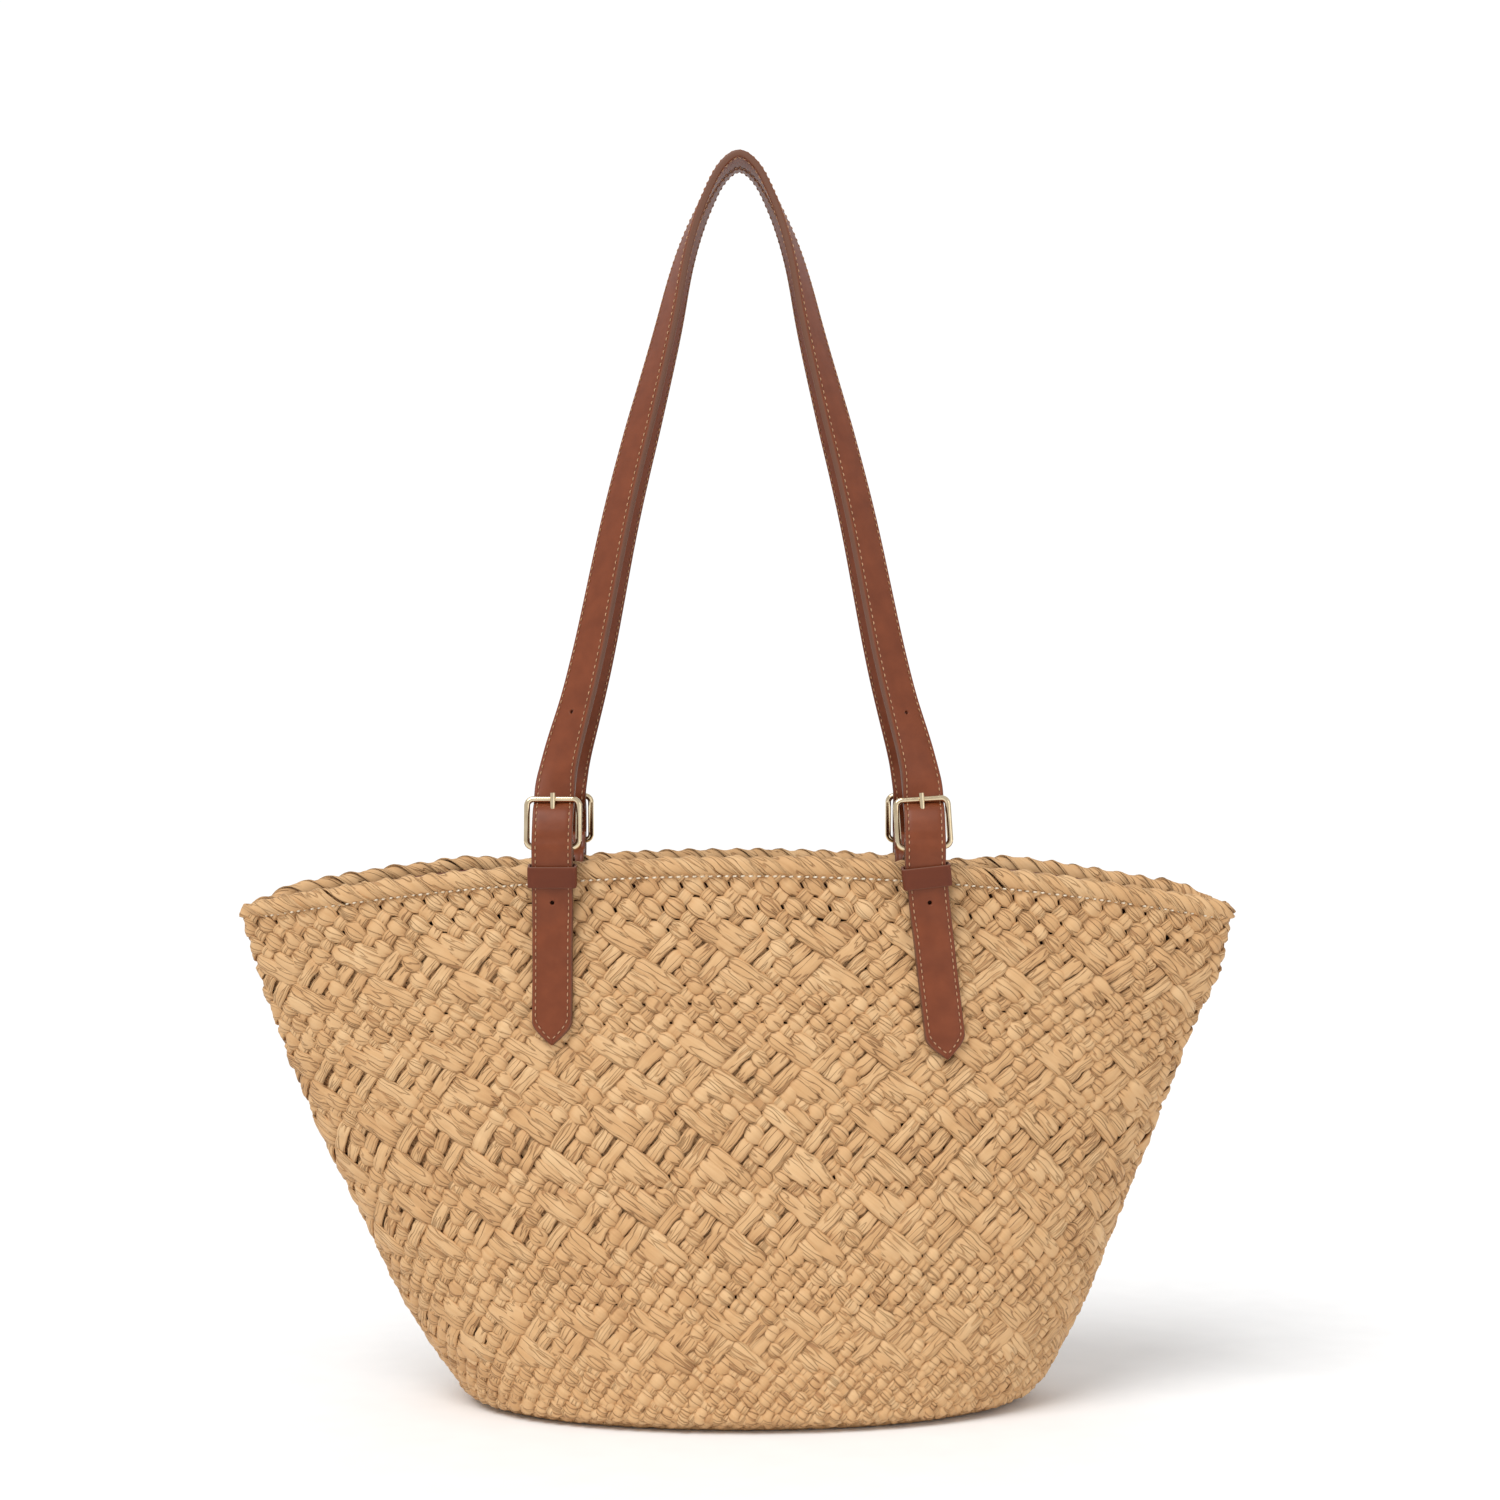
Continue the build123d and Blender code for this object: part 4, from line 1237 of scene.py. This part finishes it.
def tab_line(x, slant):
    """Outer leg from its end up to the bar, round the bar, over the rim and down the inside."""
    centres, across = hanging_keys(x, slant, (TAB_END, 0.239, 0.243, 0.247, 0.252, 0.262, 0.272), TAB / 2)
    turn = np.radians(np.arange(-10, 171, 20))
    loop = np.stack([np.full(10, x), -BAR[1] - LOOP_RADIUS * np.cos(turn),
                     BAR[2] + LOOP_RADIUS * np.sin(turn)], -1)
    over = np.array([(x, -0.0490, 0.2786), (x, -0.0464, 0.2764), (x, -0.0410, 0.2762), (x, -0.0370, 0.2744)])
    heights = np.array((0.2695, 0.262, 0.254, 0.246, 0.237))
    inside = np.stack([np.full(5, x), -facing_depth(x, heights), heights], -1)
    centres = np.concatenate([centres, loop, over, inside])
    across = np.concatenate([across, np.tile((1.0, 0, 0), (19, 1))])
    return strip_line(centres, across, 0.0012)


def block(middle, size):
    """Points, quads and no caps of a box, to cut a slot."""
    corners = np.array([(x, y, z) for x in (-1, 1) for y in (-1, 1) for z in (-1, 1)]) * np.array(size) / 2
    faces = np.array([(0, 1, 3, 2), (4, 6, 7, 5), (0, 4, 5, 1), (2, 3, 7, 6), (0, 2, 6, 4), (1, 5, 7, 3)])
    return corners + middle, faces


tab_leather = leather("tab_leather", (0.140, 0.032, 0.010), (0.180, 0.044, 0.015), (0.15, 0.066, 0.040))
for corner, (side, hand, tilt, slant, tip) in CORNERS.items():
    x = HANDLE_X + hand * BAR[0]
    line = tab_line(x, hand * slant)
    if side > 0:
        line = mirrored(line)
    count = len(line[3])
    tab = strip_mesh(f"tab_strip_{corner}", line, np.full(count, STRAP_WIDTH), TAB, tab_leather,
                     np.full(count, 0.008), crown=0.00005)
    cut(tab, *block((x, side * BAR[1], BAR[2] + 0.0048), SLOT))
    place(tab, "bag", "tab_leather", f"tab_{corner}")


# The keepers
# A plain closed loop of leather round each tab and tail, with rounded edges.

KEEPER = (0.0240, 0.0106, 0.0015)
KEEPER_Z = 0.2675
KEEPER_DEPTH = 0.0064
KEEPER_ROUND = 64
KEEPER_LIP = 20
KEEPER_FULLER = 0.0002


def keeper_loop(name, x, side, slant, material):
    """A rounded rectangle |u|^n + |w|^n = 1 carried round, with a section that has rounded rims;
    the loop is tipped back with the tab's run and turned with the tail."""
    turn = np.linspace(0, 2 * pi, KEEPER_ROUND, endpoint=False)
    power = 2 / 9
    u = np.sign(np.cos(turn)) * np.abs(np.cos(turn)) ** power
    w = np.sign(np.sin(turn)) * np.abs(np.sin(turn)) ** power
    rim = np.linspace(0, 2 * pi, KEEPER_LIP, endpoint=False)
    lip = np.sign(np.cos(rim)) * np.abs(np.cos(rim)) ** 0.5
    high = np.sign(np.sin(rim)) * np.abs(np.sin(rim)) ** 0.22 * KEEPER[1] / 2
    thick = KEEPER[2] / 2
    half_u = KEEPER[0] / 2 - thick + lip * thick
    half_w = KEEPER_DEPTH / 2 + thick + lip * thick
    local_x = u[:, None] * half_u
    local_y = w[:, None] * half_w
    local_z = np.broadcast_to(high, local_x.shape)
    local_y = local_y - KEEPER_FULLER * (local_y < 0)
    tip = np.arctan(RUN_SLOPE)
    y = local_y * np.cos(tip) - local_z * np.sin(tip)
    z = local_y * np.sin(tip) + local_z * np.cos(tip)
    lean = -radians(slant)
    x_turned = local_x * np.cos(lean) + z * np.sin(lean)
    z_turned = -local_x * np.sin(lean) + z * np.cos(lean)
    middle_y = -(run_depth(KEEPER_Z) + (STRAP + GAP) / 2)
    middle_x = x + (TAIL_TOP - KEEPER_Z) * np.tan(radians(slant))
    points = np.stack([x_turned + middle_x, y + middle_y, z_turned + KEEPER_Z], -1)
    points[..., 1] *= -side
    quads = grid_quads(KEEPER_ROUND, KEEPER_LIP, close_rows=True, close_columns=True)
    step = np.broadcast_to(np.linspace(0, 6, KEEPER_ROUND)[:, None], points.shape[:2])
    tone = np.clip((np.abs(high) / KEEPER[1] * 2 - 0.9) * 10, 0, 1) * 0.8
    return quad_mesh(name, points.reshape(-1, 3), quads, material,
                     np.stack([local_z * 100, step], -1).reshape(-1, 2),
                     np.broadcast_to(tone, points.shape[:2]).reshape(-1), np.zeros((0, 3), int))


keeper_leather = leather("keeper_leather", (0.108, 0.0215, 0.0065), (0.142, 0.030, 0.0095),
                         (0.18, 0.080, 0.050), 0.5)
for corner, (side, hand, tilt, slant, tip) in CORNERS.items():
    loop = keeper_loop(f"keeper_loop_{corner}", HANDLE_X + hand * BAR[0], side, hand * slant, keeper_leather)
    place(loop, f"keeper_{corner}", "keeper_leather", f"keeper_{corner}")


# The buckles
# Wire frames with a tongue on the lower bar, plated pale gold and polished.


def pale_gold_material():
    """Polished pale gold plating: a faint cloud in its colour and gloss, and fine hair scratches."""
    material = bpy.data.materials.new("pale_gold")
    material.use_nodes = True
    nodes, links = material.node_tree.nodes, material.node_tree.links
    shader = nodes["Principled BSDF"]
    shader.inputs["Metallic"].default_value = 1.0
    coordinates = nodes.new("ShaderNodeTexCoord")
    cloud = nodes.new("ShaderNodeTexNoise")
    cloud.inputs["Scale"].default_value = 160.0
    cloud.inputs["Detail"].default_value = 3.0
    links.new(coordinates.outputs["Object"], cloud.inputs["Vector"])
    ramp = nodes.new("ShaderNodeValToRGB")
    ramp.color_ramp.elements[0].position = 0.3
    ramp.color_ramp.elements[0].color = (0.66, 0.52, 0.33, 1)
    ramp.color_ramp.elements[1].position = 0.7
    ramp.color_ramp.elements[1].color = (0.80, 0.67, 0.46, 1)
    links.new(cloud.outputs["Fac"], ramp.inputs["Fac"])
    links.new(ramp.outputs["Color"], shader.inputs["Base Color"])
    gloss = nodes.new("ShaderNodeMapRange")
    gloss.inputs["To Min"].default_value = 0.07
    gloss.inputs["To Max"].default_value = 0.15
    links.new(cloud.outputs["Fac"], gloss.inputs["Value"])
    links.new(gloss.outputs["Result"], shader.inputs["Roughness"])
    scratches = nodes.new("ShaderNodeTexNoise")
    scratches.inputs["Scale"].default_value = 2600.0
    links.new(coordinates.outputs["Object"], scratches.inputs["Vector"])
    bump = nodes.new("ShaderNodeBump")
    bump.inputs["Strength"].default_value = 0.02
    bump.inputs["Distance"].default_value = 0.00002
    links.new(scratches.outputs["Fac"], bump.inputs["Height"])
    links.new(bump.outputs["Normal"], shader.inputs["Normal"])
    return material


pale_gold = pale_gold_material()
for corner in CORNERS:
    for node in (f"buckle_frame_{corner}", f"tongue_{corner}"):
        metal = bpy.data.objects[node]
        metal.data.materials.clear()
        metal.data.materials.append(pale_gold)
